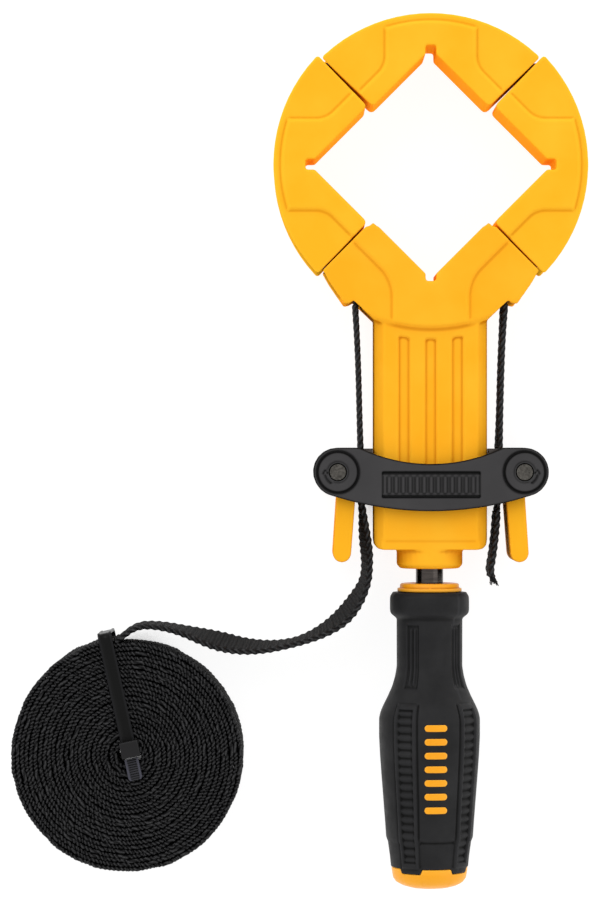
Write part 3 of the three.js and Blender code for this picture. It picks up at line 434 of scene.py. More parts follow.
# The frame's shells take the same yellow ABS painted a little darker and more orange: a painted shade.
shaded_frame_abs = moulded_plastic("shaded_frame_abs", ("#FFB72A", "#FFAF20", "#DE8A10", "#FFB828"),
                            0.52, 0.35, 0.012, 0.03, ("#F0980C", 0.35, 0.65))
lever_abs = moulded_plastic("lever_abs", ("#FBB31C", "#F8AC16", "#D98A12", "#FCB428"),
                            0.46, 0.35, 0.010, 0.1, ("#E8920C", 0.7, 0.99))
handle_abs = moulded_plastic("handle_abs", ("#F9A81C", "#F4A018", "#D08010", "#FBB030"),
                             0.36, 0.5, 0.006, 0.2)
# On the crossbar the outer edges and the upright walls are painted nearly black: painted shade.
filled_nylon = moulded_plastic("glass_filled_nylon", ("#3F3E3F", "#383738", "#0C0C0C", "#2E2D2E"),
                               0.55, 0.45, 0.02, 0.12, ("#060606", 0.7, 0.99))
# The tie is one black nylon: the strap is painted darker and the tail painted lighter and bluer than the
# head, painted shade and painted light.
painted_dark_strap_nylon = moulded_plastic("painted_dark_strap_nylon", ("#0A0A0B", "#070708", "#030303", "#141416"),
                              0.34, 0.3, 0.006, 0.12)
head_nylon = moulded_plastic("head_nylon", ("#1C1B1C", "#171718", "#0C0C0D", "#262627"),
                             0.42, 0.6, 0.01, 0.14)
painted_light_tail_nylon = moulded_plastic("painted_light_tail_nylon", ("#2C2C33", "#25252C", "#0A0A0B", "#3E3E48"),
                             0.34, 0.6, 0.006, 0.2)
print("plastics:", [m.name for m in bpy.data.materials if m.name.endswith(("_abs", "_nylon"))])

# %% [markdown]
# The grip is thermoplastic rubber moulded over the core: nearly matt, with a soft bloom that catches light
# at grazing angles. The webbing is woven nylon. Its weave follows the band, so it reads two measures that
# each webbing piece carries on its points: millimetres along the band and millimetres across it. Its ribs
# are 1.5 mm apart, and along the two edges they turn back in pairs, so there one bump stands for two ribs.

# %% Rubber and webbing
BAND_WIDTH = 25.0
BUMP_PITCH = 3.0
YARN_PITCH = 1.56
EDGE_BORDER, EDGE_LEAN = 0.9, 0.55


def moulded_rubber():
    """Matt rubber: a fine grain, uneven gloss from handling, and a light bloom."""
    material, tree, place = new_finish("moulded_rubber")
    share = patches(tree, place, 14, 4)
    colour = add(tree, "Mix", {0: share, 6: linear("#1B1B1C"), 7: linear("#252526")}, out=2, data_type="RGBA")
    # Painted shade in the rubber's inner corners and a painted highlight on its edges.
    colour = painted_corners_and_edges(tree, colour, "#030303", "#28282A")
    gloss = patches(tree, place, 4, 5, 0.5, 0.66)
    shader = add(tree, "BsdfPrincipled", {"Base Color": colour, "Roughness": gloss, "IOR": 1.52,
                                          "Specular IOR Level": 0.14, "Sheen Weight": 0.02,
                                          "Sheen Roughness": 0.4,
                                          "Normal": grained(tree, place, 0.4, 0.03)})
    add(tree, "OutputMaterial", {"Surface": shader})
    return material


def woven_nylon():
    """Ribs straight across the band, cut into yarns along it: a cosine along times a cosine across.

    At the edges the cosine along has half as many waves, and it is slanted by the place through the band.
    The colour carries painted light: rib tops lighter, hollows darker, and the edges lighter than the faces.
    """
    material, tree, place = new_finish("woven_nylon")
    weave = add(tree, "Attribute", out="Vector", attribute_name="weave", attribute_type="GEOMETRY")
    parts = add(tree, "SeparateXYZ", {0: weave}).node.outputs
    along = add(tree, "Math", {0: parts[0], 1: BUMP_PITCH}, operation="DIVIDE")
    across = add(tree, "Math", {0: parts[1], 1: YARN_PITCH}, operation="DIVIDE")
    out = add(tree, "Math", {0: parts[1]}, operation="ABSOLUTE")
    at_edge = add(tree, "Math", {0: out, 1: BAND_WIDTH / 2 - EDGE_BORDER}, operation="GREATER_THAN")
    lean = add(tree, "Math", {0: at_edge, 1: EDGE_LEAN}, operation="MULTIPLY")
    waves = add(tree, "MapRange", {0: at_edge, 3: 2, 4: 1})
    picks = add(tree, "Math", {0: along, 1: waves}, operation="MULTIPLY")
    phase = add(tree, "Math", {0: parts[2], 1: lean, 2: picks}, operation="MULTIPLY_ADD")
    turn = add(tree, "Math", {0: phase, 1: 2 * math.pi}, operation="MULTIPLY")
    rib = add(tree, "MapRange", {0: add(tree, "Math", {0: turn}, operation="COSINE"), 1: -1, 2: 1})
    half_turn = add(tree, "Math", {0: across, 1: math.pi}, operation="MULTIPLY")
    wave = add(tree, "Math", {0: half_turn}, operation="COSINE")
    yarn = add(tree, "MapRange", {0: add(tree, "Math", {0: wave}, operation="ABSOLUTE"), 3: 0.6})
    height = add(tree, "Math", {0: rib, 1: yarn}, operation="MULTIPLY")
    hairs = add(tree, "TexNoise", {"Vector": place, "Scale": 1 / (0.25 * MM), "Detail": 4, "Roughness": 0.7})
    fuzz = add(tree, "Bump", {"Height": hairs, "Distance": 0.05 * MM, "Strength": 1})
    relief = add(tree, "Bump", {"Height": height, "Distance": 0.3 * MM, "Strength": 1, "Normal": fuzz})
    # Painted light: rib tops are painted lighter and the hollows between them dark, by the rib height, in
    # uneven patches.
    wear_and_highlight = patches(tree, place, 1.1, 3, 0.2, 1.5)
    light = add(tree, "Math", {0: height, 1: wear_and_highlight}, operation="MULTIPLY")
    # The band's edges, which face up, are painted lighter than its faces: painted light.
    high = add(tree, "Mix", {0: at_edge, 6: linear("#222223"), 7: linear("#3A3A3B")}, out=2, data_type="RGBA")
    colour = add(tree, "Mix", {0: light, 6: linear("#080809"), 7: high}, out=2, data_type="RGBA")
    gloss = add(tree, "MapRange", {0: at_edge, 3: 0.85, 4: 0.45})
    shader = add(tree, "BsdfPrincipled", {"Base Color": colour, "Roughness": gloss, "IOR": 1.53,
                                          "Specular IOR Level": 0.1, "Normal": relief})
    add(tree, "OutputMaterial", {"Surface": shader})
    return material


grip_rubber = moulded_rubber()
webbing = woven_nylon()
print("ribs every", BUMP_PITCH / 2, "mm, edge bumps every", BUMP_PITCH, "mm")

# %% [markdown]
# The metals differ in how they were finished. The spindle and the anvils are ground and oiled steel, dark
# and glossy, with fine marks from the wheel. The lever pins are cast and dull. Screws are zinc plated,
# and the bushes and the nut are sintered bronze with open pores.

# %% Metals


def worked_metal(name, light, dark, roughness, spread, grain_mm, grain_depth_mm, stretch=(1, 1, 1)):
    """A metal with two shades, uneven gloss and a grain that can be drawn out along an axis."""
    material, tree, place = new_finish(name)
    drawn = add(tree, "Mapping", {"Vector": place, "Scale": stretch})
    grain = add(tree, "TexNoise", {"Vector": drawn, "Scale": 1 / (grain_mm * MM), "Detail": 4,
                                   "Roughness": GRAIN_SHARPNESS})
    share = add(tree, "MapRange", {0: grain, 1: NOISE_LOW, 2: NOISE_HIGH})
    colour = add(tree, "Mix", {0: share, 6: linear(dark), 7: linear(light)}, out=2, data_type="RGBA")
    gloss = patches(tree, place, 3, 3, roughness - spread, roughness + spread)
    relief = add(tree, "Bump", {"Height": grain, "Distance": grain_depth_mm * MM, "Strength": 1})
    shader = add(tree, "BsdfPrincipled", {"Base Color": colour, "Metallic": 1, "Roughness": gloss,
                                          "Normal": relief})
    add(tree, "OutputMaterial", {"Surface": shader})
    return material


ground_steel = worked_metal("ground_steel", "#5A5450", "#2E2B2A", 0.2, 0.05, 2, 0.004, (0.2, 6, 0.2))
cast_steel = worked_metal("cast_steel", "#66635E", "#3C3A37", 0.62, 0.08, 0.7, 0.07)
zinc_plate = worked_metal("zinc_plate", "#C6C8CC", "#A9ACB2", 0.3, 0.06, 1.2, 0.006)
sintered_bronze = worked_metal("sintered_bronze", "#B48A54", "#8E6838", 0.42, 0.06, 0.5, 0.02)
print("metals:", [m.name for m in (ground_steel, cast_steel, zinc_plate, sintered_bronze)])

# %% [markdown]
# ## The band
# The webbing stands on edge the whole way, so the photograph looks at its edge: a rope-like line of slanted
# bumps where the cross yarn turns back. Every stretch is one profile carried along a path. The profile is a
# thin slab with rounded edges, and the bumps push it out by a formula of the distance along the band.

# %% The webbing profile
EDGE_BUMP, EDGE_SWELL, FACE_SWELL = 0.34, 0.22, 0.1
BUMP_SLANT = 0.9
CORNER_CUTS = 4


def webbing_section(thickness, face_points, edge_points):
    """One loop round the band: points across the width (v) and through the thickness (t), in mm."""
    turn = np.linspace(-math.pi / 2, math.pi / 2, edge_points)
    half_v, half_t = BAND_WIDTH / 2 - thickness / 2, thickness / 2
    top = np.stack([half_v + half_t * np.cos(turn), half_t * np.sin(turn)], -1)
    side = np.linspace(half_v, -half_v, face_points + 2)[1:-1]
    back = np.stack([side, np.full(face_points, half_t)], -1)
    return np.concatenate([top, back, -top, -back])


def distances(path):
    """How far along a path each of its points lies."""
    return np.concatenate([[0], np.cumsum(np.linalg.norm(np.diff(path, axis=0), axis=1))])


def resample(path, step):
    """A route with its corners cut round, at equal distances, and the distance of each point.

    Each pass puts two points on every leg, a quarter and three quarters of the way along, and keeps the ends.
    """
    for _ in range(CORNER_CUTS):
        quarters = np.stack([0.75 * path[:-1] + 0.25 * path[1:], 0.25 * path[:-1] + 0.75 * path[1:]], 1)
        path = np.concatenate([path[:1], quarters.reshape(-1, path.shape[1]), path[-1:]])
    distance = distances(path[:, :3])
    along = np.linspace(0, distance[-1], max(int(round(distance[-1] / step)), 4) + 1)
    return np.stack([np.interp(along, distance, column) for column in path.T], -1), along


def band_grid(path, along, section, thickness, rough=1.0, pitch=BUMP_PITCH):
    """The section carried along a path of right, down, up and lean in degrees.

    Across is the upward direction made square to the path and leaned about it; through is square to both.
    The edge is pushed out by a cosine of the distance, shifted by the place through the band, which slants
    the bumps. The faces swell by the same cosine without the shift.
    """
    centre = path[:, :3]
    tangent = np.gradient(centre, axis=0)
    tangent /= np.linalg.norm(tangent, axis=1)[:, None]
    up = np.array([0, 0, 1.0]) - tangent * tangent[:, 2:3]
    up /= np.linalg.norm(up, axis=1)[:, None]
    side = np.cross(tangent, up)
    lean = np.radians(path[:, 3])[:, None]
    across = up * np.cos(lean) + side * np.sin(lean)
    through = np.cross(tangent, across)
    v, t = section[None, :, 0], section[None, :, 1]
    edge = np.clip((np.abs(v) - (BAND_WIDTH / 2 - thickness)) / thickness, 0, 1)
    along = along[:, None]
    turn = 2 * math.pi * along / pitch
    slanted = edge * np.cos(turn + t / thickness * math.pi * BUMP_SLANT * np.sign(v))
    v = v + np.sign(v) * EDGE_BUMP * rough * slanted
    t = t + np.sign(t) * rough * (FACE_SWELL * np.cos(turn) * (1 - edge) + EDGE_SWELL * slanted)
    grid = centre[:, None] + across[:, None] * v[..., None] + through[:, None] * t[..., None]
    return grid, np.stack(np.broadcast_arrays(along, section[None, :, 0], t), -1)


def webbing_piece(name, grid, weave, body, stands_for=()):
    """A closed piece of webbing that carries its weave on its points."""
    mesh = tube_mesh(name, grid)
    values = np.concatenate([weave.reshape(-1, 3), weave[:1].mean(1), weave[-1:].mean(1)])
    mesh.attributes.new("weave", "FLOAT_VECTOR", "POINT").data.foreach_set("vector", values.ravel())
    return add_piece(mesh, webbing, body, stands_for)


def band_piece(name, path, thickness, body, stands_for=(), step=0.36, faces=10, edges=7, rough=1.0):
    """A stretch of webbing along a path of right and down, with up and lean where it isn't level."""
    path = np.array(path, float)
    if path.shape[1] == 2:
        path = np.pad(path, ((0, 0), (0, 2)))
    route, along = resample(path, step)
    grid, weave = band_grid(route, along, webbing_section(thickness, faces, edges), thickness, rough)
    print(name, "is", round(along[-1], 1), "mm long")
    return webbing_piece(name, grid, weave, body, stands_for), route


# %% [markdown]
# The free lead leaves the crossbar at its left end, hangs beside the body, swings out to the left and runs
# into the coil. Its points were laid over the photograph, within a few millimetres of the solid's
# own. It leans as it goes, which shows its ribbed face in the middle of the swing.

# %% The free lead
LEAD_THICKNESS = 2.3
COIL_X, COIL_DEPTH, COIL_RADIUS = -121.8, 236.0, 47.4
COIL_THICKNESS, COIL_PITCH, COIL_LOOPS = 1.33, 1.8, 23.6
COIL_TAIL = 3
COIL_BOTTOM = 1.4
COIL_UP = COIL_BOTTOM + BAND_WIDTH / 2 - AXIS_Z
COIL_OUTER = COIL_RADIUS - COIL_THICKNESS / 2
END_ANGLE = math.radians(100)
lead_route = [
    [-27.9, 125, 0, 0], [-27.9, 131.5, 0, 0], [-27.1, 137.5, 0, 1], [-26.6, 143.3, 0, 4], [-26, 149, -0.2, 6],
    [-25.4, 154.2, -0.4, 6], [-25.3, 158.6, -0.6, 5], [-25.4, 163, -0.8, 5], [-26.7, 168, -1, 6],
    [-29.9, 173.8, -1.3, 10], [-34.9, 180.2, -1.7, 11], [-42.7, 185.8, -2.2, 6], [-52.3, 190, -2.8, 1],
    [-60.2, 191.8, -3.2, 2], [-67.4, 192.6, -3.7, 5], [-76, 192.3, -4.3, 9], [-84.7, 190.4, -4.8, 12],
    [-92.6, 188.1, -5.2, 8], [-99.6, 186, -5.6, 3], [-106.6, 184.4, -5.9, 1], [-112.4, 183.7, -6.1, 0],
    [-117.3, 183.9, -6.3, 0], [-121.4, 185.7, -6.4, 0],
]


def coil_point(radius, angle):
    """Right and down of a point at a radius and an angle about the coil's middle."""
    return np.stack([COIL_X + radius * np.cos(angle), COIL_DEPTH - radius * np.sin(angle)], -1)


outward = np.array([math.sin(END_ANGLE), math.cos(END_ANGLE)])
coil_tail_end = coil_point(COIL_OUTER, END_ANGLE) + outward * COIL_TAIL
lead_ends = [[*(coil_tail_end + outward * COIL_TAIL / 2), COIL_UP, 0], [*coil_tail_end, COIL_UP, 0]]
lead, lead_path = band_piece("free_lead", lead_route + lead_ends, LEAD_THICKNESS, "crossbar", ["band_lead"],
                             step=0.3, faces=12, edges=9, rough=1.2)

# %% [markdown]
# The coil is one flat spiral of 23.6 loops that stands on edge. It is worked out as a single path, so the
# slanted edge bumps run on from loop to loop and end up staggered, as they do in the photograph. Wound this
# tight, the bumps crowd to 1.65 mm, and the rows are a quarter of that apart. Each loop rises and sinks a
# little, as hand-wound band does. The loops press together: their lower halves are the thicker ones and
# touch, so no floor shows between them. Nobody sees the lower edge, so it does with two corners fewer.

# %% The coil of spare band
COIL_BUMP = 1.65
COIL_STEP = COIL_BUMP / 4
SLACK_ROWS, SLACK_RISE, SLACK_LEAN, SLACK_MOST = 10, 0.25, 0.9, 1.6
BUMP_JITTER = 0.04
UPPER_SWELL, LOWER_SWELL = 1.13, 1.32
UNSEEN_CORNERS = (7, 9)
turns = np.linspace(0, COIL_LOOPS, 9001)
spiral = coil_point(COIL_OUTER - COIL_PITCH * turns, END_ANGLE + 2 * math.pi * turns)
spiral = np.concatenate([[coil_tail_end], spiral])
distance = distances(spiral)
coil_along = np.arange(0, distance[-1], COIL_STEP)
slack = np.random.default_rng(5).normal(0, 1, (2, len(coil_along) // SLACK_ROWS + 2))
slack_along = np.arange(slack.shape[1]) * COIL_STEP * SLACK_ROWS
rise, lean = (np.interp(coil_along, slack_along, row) for row in np.clip(slack, -SLACK_MOST, SLACK_MOST))
coil_right, coil_down = (np.interp(coil_along, distance, column) for column in spiral.T)
coil_path = np.stack([coil_right, coil_down, COIL_UP + SLACK_RISE * rise, SLACK_LEAN * lean], -1)
coil_section = np.delete(webbing_section(COIL_THICKNESS, 1, 5), UNSEEN_CORNERS, 0)
coil_section = coil_section * np.where(coil_section[:, :1] > 0, [1, UPPER_SWELL], [1, LOWER_SWELL])
jitter = np.cumsum(np.random.default_rng(8).normal(0, BUMP_JITTER, len(coil_along)))
coil_grid, coil_weave = band_grid(coil_path, coil_along + jitter, coil_section, COIL_THICKNESS,
                                  pitch=COIL_BUMP)
coil_weave[..., 0] *= BUMP_PITCH / COIL_BUMP
coil = webbing_piece("spare_band_coil", coil_grid, coil_weave, "crossbar", ["band_coil"])
print("coil:", COIL_LOOPS, "loops,", round(distance[-1] * MM, 2), "m of band")

# %% [markdown]
# The rest of the band lies in the rims of the jaws, turns round a guide at each side of the frame's head,
# runs down beside the body and goes into the crossbar. Each stretch rides on what it lies on. The two
# beside the body join pieces that move apart, so they are put on no body.

# %% The rest of the band
RIM_RADIUS = 58.3
LEG_THICKNESS, RIM_THICKNESS = 2.2, 1.3
SIDE_SHIFT, SIDE_RISE = 0.3, 1.8
GUIDE_X, GUIDE_DEPTH, GUIDE_REACH, GUIDE_TURN = 33.3, 51.79, 3.2, 57.25
RIM_START, RIM_FINISH = 133.4, 147.3
LEG_TOP_X, LEG_TOP_DEPTH, LEG_END_DEPTH = 30.1, 54.3, 113.4
CROSSBAR_BAND_X, CROSSBAR_TOP, CROSSBAR_END = 27.9, 113, 128
TAIL_START = (27.05, 137.4)
LEG_LEAN = {"left": -0.6, "right": -1.4}
JAW_END = 0.98
leg_places = [(29.4, 66), (28.8, 80), (28.3, 100)]
jaw_middles = {"left": (-SIDE_SHIFT, -SIDE_RISE), "top": (0, TOP_JAW_DROP), "right": (SIDE_SHIFT, -SIDE_RISE)}


def rim_arc(middle, start, end, steps=24):
    """An arc of the rim about a jaw's own middle, from one compass angle to another, 0 up and 90 right."""
    angle = np.radians(np.linspace(start, end, steps))
    return np.stack([middle[0] + RIM_RADIUS * np.sin(angle), middle[1] - RIM_RADIUS * np.cos(angle)], -1)


for side, start, body in (("left", -135, "left_jaw"), ("top", -45, "top_band"), ("right", 45, "right_jaw")):
    arc = rim_arc(jaw_middles[side], start + JAW_END, start + 90 - JAW_END)
    band_piece(f"band_on_{side}_jaw", arc, RIM_THICKNESS, body, [f"{side}_jaw_band"], step=0.6)
for name, side in (("left", -1), ("right", 1)):
    turn = np.radians(np.linspace(GUIDE_TURN, 0, 8))
    post = np.stack([GUIDE_X - GUIDE_REACH * np.cos(turn), GUIDE_DEPTH - GUIDE_REACH * np.sin(turn)], -1)
    rim = rim_arc((0, 0), RIM_START, RIM_FINISH, 8)
    route = np.concatenate([rim, post[1:], [[LEG_TOP_X, LEG_TOP_DEPTH + 0.3]]]) * [side, 1]
    band_piece(f"band_on_frame_at_{name}", route, RIM_THICKNESS, "frame", [f"band_on_frame_{name}"], step=0.5)
    leg = [(LEG_TOP_X, LEG_TOP_DEPTH, 0, 0), *((x, depth, 0, LEG_LEAN[name]) for x, depth in leg_places),
           (CROSSBAR_BAND_X, LEG_END_DEPTH, 0, 0)]
    piece, _ = band_piece(f"band_beside_body_{name}", np.array(leg) * [side, 1, 1, 1], LEG_THICKNESS, None,
                          [f"band_leg_{name}"], rough=0.7)
    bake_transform(piece)
    inside = [(CROSSBAR_BAND_X, CROSSBAR_TOP), (CROSSBAR_BAND_X, CROSSBAR_END)]
    if name == "right":
        inside += [(CROSSBAR_BAND_X, 131.5), TAIL_START]
    band_piece(f"band_in_crossbar_at_{name}", np.array(inside) * [side, 1], RIM_THICKNESS, "crossbar",
               [f"band_in_crossbar_{name}"])

# %% [markdown]
# Between the jaws the band bridges four gaps. They open as the jaws move apart, and each short stretch over
# a gap is put on no body.

# %% The band over the gaps between the jaws
GAP_THICKNESS = 1.1
GAP_OVERLAP = 2.4


def gap_band(name, angle, first, second):
    """A short stretch over the gap at a compass angle, from one jaw's rim to the next."""
    reach = JAW_END + GAP_OVERLAP
    before = rim_arc(first, angle - reach, angle - JAW_END, 4)
    after = rim_arc(second, angle + JAW_END, angle + reach, 4)
    path = np.concatenate([before, after])
    piece, _ = band_piece("band_gap_" + name, path, GAP_THICKNESS, None, step=0.5, rough=0.8)
    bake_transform(piece)


gap_band("upper_left", -45, jaw_middles["left"], jaw_middles["top"])
gap_band("upper_right", 45, jaw_middles["top"], jaw_middles["right"])
gap_band("lower_right", 135, jaw_middles["right"], (0, 0))
gap_band("lower_left", -135, (0, 0), jaw_middles["left"])

# %% [markdown]
# The cut end at the right hangs beside the body and curls outward. Its yarns have come loose at the tip,
# which ends in a tuft of separate threads.

# %% The frayed tail
THREADS = 46
THREAD_RADIUS, THREAD_ROWS, THREAD_SIDES = 0.32, 9, 6
FRAY_X, FRAY_DEPTH, FRAY_HALF = 24.8, 162.6, 11.8
FRAY_MOST_UP = 12.4
tail_route = [TAIL_START, [26.7, 143], [26, 150], [25.1, 156.5], [24.3, 160.6], [24.9, 163.6]]
band_piece("band_tail", tail_route, LEG_THICKNESS, "crossbar", ["band_tail"], rough=1.1)
fray = np.random.default_rng(11)


def loose_threads():
    """Threads that start across the cut end and bend down and apart: x = x0 + spread s + curl s squared."""
    grids = []
    s = np.linspace(0, 1, THREAD_ROWS)[:, None]
    turn = once_round(THREAD_SIDES)[None, :]
    for _ in range(THREADS):
        up = fray.uniform(-FRAY_HALF, FRAY_HALF)
        root_x, root_depth = FRAY_X + fray.uniform(-0.5, 0.5), FRAY_DEPTH + fray.uniform(-0.6, 0.6)
        reach, spread = fray.uniform(2.2, 5.2), fray.uniform(0.4, 2.6)
        curl, drift = fray.uniform(-1.2, 1.2), fray.uniform(-1.5, 1.5)
        radius = THREAD_RADIUS * fray.uniform(0.6, 1.1) * (1 - 0.5 * s)
        across = root_x + spread * s + curl * s * s + radius * np.cos(turn)
        down = root_depth + reach * s + 0 * turn
        height = np.clip(up + drift * s, -FRAY_MOST_UP, FRAY_MOST_UP) + radius * np.sin(turn)
        grids.append(np.stack([across, down, height], -1))
    return tube_mesh("tail_threads", *grids)


add_piece(loose_threads(), webbing, "crossbar")
print("tail:", THREADS, "loose threads")

# %% [markdown]
# ## The moulded pieces
# The jaws, the two frame shells, the crossbar plates and the levers have their true shape in the solid
# model, but its edges are knife sharp. No moulding leaves its mould like that: outer edges are broken and
# inner corners have fillets, and these are what catch the light. So each solid is sampled on a fine grid,
# which gives it an even skin, and a few smoothing passes round its edges and fill its corners. The radius
# that comes out is about the grid's step times the root of half the passes.
#
# Smoothing would also wash out shallow relief. So where a face carries relief, its solid is made plain
# first, and the relief is pressed into the smoothed skin by a formula of the place on that face.

# %% Rounded copies of the solids
SAME_PLACE = 0.02


def ramp(value, middle, width):
    """0 below the middle, 1 above it, and a smooth rise over the width."""
    share = np.clip((value - middle) / width + 0.5, 0, 1)
    return share * share * (3 - 2 * share)


def up_to(value, end, width):
    """1 up to the end, 0 past it, and a smooth fall over the width."""
    return ramp(-value, -end, width)


def bell(value, middle, width):
    """1 at the middle, falling away on both sides like a bell: exp(-((value - middle) / width) squared)."""
    return np.exp(-((value - middle) / width) ** 2)


def even_skin(mesh, grid_mm, passes):
    """The mesh sampled on a grid of cubes and smoothed."""
    holder = bpy.data.objects.new("sampling", mesh)
    bpy.context.scene.collection.objects.link(holder)
    skin = holder.modifiers.new("even_skin", "REMESH")
    skin.mode = "VOXEL"
    skin.voxel_size = grid_mm * MM
    soften = holder.modifiers.new("soft_edges", "SMOOTH")
    soften.factor = 0.5
    soften.iterations = passes
    evaluated = holder.evaluated_get(bpy.context.evaluated_depsgraph_get())
    result = bpy.data.meshes.new_from_object(evaluated)
    bpy.data.objects.remove(holder)
    return result


def reshape(mesh, change):
    """Moves a mesh's points with a function of their clamp millimetres: right, down and up."""
    flat = np.empty(len(mesh.vertices) * 3, np.float32)
    mesh.vertices.foreach_get("co", flat)
    points = flat.reshape(-1, 3).astype(float) / MM
    right, down, up = change(points[:, 0], RING_Y - points[:, 1], points[:, 2] - AXIS_Z)
    mesh.vertices.foreach_set("co", at(np.stack([right, down, up], -1)).ravel().astype(np.float32))
    mesh.update()


def moulded_copy(node, material, grid_mm, passes, plain=None, relief=None):
    """A copy of a solid with rounded edges: made plain, given an even skin, and then its relief."""
    source = frame["nodes"][node]
    mesh = source.data.copy()
    work = bmesh.new()
    work.from_mesh(mesh)
    bmesh.ops.remove_doubles(work, verts=work.verts, dist=SAME_PLACE * MM)
    work.to_mesh(mesh)
    work.free()
    if plain:
        reshape(mesh, plain)
    skin = even_skin(mesh, grid_mm, passes)
    bpy.data.meshes.remove(mesh)
    if relief:
        reshape(skin, relief)
    skin.name = node.replace("frame_", "") + "_moulded"
    skin.materials.clear()
    skin.polygons.foreach_set("use_smooth", np.ones(len(skin.polygons), bool))
    add_piece(skin, material, source["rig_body"], [node])


print("doubles within", SAME_PLACE, "mm are merged before a solid is sampled")

# %% [markdown]
# Each jaw's face carries a raised pad: a stem from the rim and an arm along each side of the V. Its outline
# is a soft union of two distances, one to the arms' edge line and one to the stem, so the corner between
# them is round. The pad rises over a slope 1.8 mm wide.

# %% Jaws
FACE_UP, PAD_RISE = 15.0, 1.0
PAD_LINE, PAD_RIM = 59.4, 59.4
JAW_STEM, FRAME_STEM = 17.9, 15.0
JAW_CORNER, FRAME_CORNER, PAD_SLOPE = 3.0, 5.0, 1.8
JAW_RELIEF_UP, FRAME_RELIEF_UP, RELIEF_FADE = 12.5, 11.5, 3


def pad_height(across, toward, stem_half, rim, corner):
    """How far the pad lifts the face at a point given in its jaw's own directions."""
    arms = (np.abs(across) + toward - PAD_LINE) / math.sqrt(2)
    stem = np.abs(across) - stem_half
    fillet = np.maximum(corner - np.abs(arms - stem), 0)
    outside = np.minimum(arms, stem) - fillet * fillet / corner / 4
    outside = np.maximum(outside, np.hypot(across, toward) - rim)
    return PAD_RISE * (1 - ramp(outside, 0, PAD_SLOPE))


def plain_face(right, down, up):
    """Presses the pad flat into the face."""
    return right, down, np.minimum(up, FACE_UP)


def jaw_relief(side):
    """The relief function of one jaw."""
    middle = jaw_middles[side]

    def lift(right, down, up):
        """Adds the pad's height to the points of the face."""
        x, y = right - middle[0], down - middle[1]
        across, toward = {"top": (x, -y), "left": (y, -x), "right": (y, x)}[side]
        pad = pad_height(across, toward, JAW_STEM, PAD_RIM, JAW_CORNER)
        return right, down, up + pad * ramp(up, JAW_RELIEF_UP, RELIEF_FADE)

    return lift


for side in jaw_middles:
    moulded_copy(f"{side}_jaw", yellow_abs, 0.5, 5, plain_face, jaw_relief(side))

# %% [markdown]
# The frame's head has the same pad, turned over. Below its round step the body's face has three sunk strips.
# The collar at the foot has a rounded rim: the points of its square corner are moved onto a quarter circle.

# %% Frame shells
STEP_RADIUS, STEP_SLOPE = 63.7, 2.6
BODY_UP = 14.0
STRIP_PITCH, STRIP_HALF_WIDTH, STRIP_SINK = 10.7, 2.3, 0.95
STRIP_START, STRIP_FINISH, STRIP_SLOPE = 67.9, 131.5, 0.9
COLLAR_RADIUS, COLLAR_END, COLLAR_ROUND = 13.4, 160.4, 2.4
STRIP_BOW, STRIP_CUP, STRIP_SKIN = 140, 0.8, 0.4
STRIPS_FLOOR, STRIPS_TOP, STRIPS_END, STRIPS_HALF = 13, 66, 142, 14


def round_collar(right, down, up):
    """Takes the collar's square lower corner, measured from a circle's middle, onto that circle."""
    radius = np.hypot(right, up)
    out, past = radius - (COLLAR_RADIUS - COLLAR_ROUND), down - (COLLAR_END - COLLAR_ROUND)
    corner = (out > 0) & (past > 0)
    share = np.maximum(out, past) / np.maximum(np.hypot(out, past), 1e-6)
    scale = (COLLAR_RADIUS - COLLAR_ROUND + out * share) / np.maximum(radius, 1e-6)
    return (np.where(corner, right * scale, right), np.where(corner, down + past * (share - 1), down),
            np.where(corner, up * scale, up))


def plain_frame(right, down, up):
    """Presses the head and its pad level with the body, and fills the strips."""
    strip = (up > STRIPS_FLOOR) & (up < BODY_UP) & (np.abs(right) < STRIPS_HALF)
    strip = strip & (down > STRIPS_TOP) & (down < STRIPS_END)
    return right, down, np.where(strip, BODY_UP, np.minimum(up, BODY_UP))


def frame_relief(right, down, up):
    """The head with its pad and its sloped step, the strips and the round collar."""
    head = (FACE_UP - BODY_UP) * up_to(np.hypot(right, down), STEP_RADIUS, STEP_SLOPE)
    pad = head * pad_height(right, down, FRAME_STEM, STEP_RADIUS, FRAME_CORNER)
    lift = (head + pad) * ramp(up, FRAME_RELIEF_UP, RELIEF_FADE)
    nearest = np.abs(right - STRIP_PITCH * np.clip(np.round(right / STRIP_PITCH), -1, 1))
    curved_start = STRIP_START - right * right / STRIP_BOW + STRIP_CUP * (nearest / STRIP_HALF_WIDTH) ** 4
    strip = up_to(nearest, STRIP_HALF_WIDTH, STRIP_SLOPE) * ramp(down, curved_start, STRIP_SLOPE)
    strip = strip * up_to(down, STRIP_FINISH, STRIP_SLOPE) * (up > BODY_UP - STRIP_SKIN)
    return round_collar(right, down, up + lift - STRIP_SINK * strip)


moulded_copy("frame_front_shell", shaded_frame_abs, 0.56, 4, plain_frame, frame_relief)
moulded_copy("frame_rear_shell", shaded_frame_abs, 0.56, 4, relief=round_collar)

# %% [markdown]
# The crossbar's front plate is smoothed more, which gives it a full edge. Its face then gets a low boss with
# a groove round each lever pin, an arrow in each boss, and a sunk badge. The real badge carries a name. Here
# it is a generic row of short upright ribs.

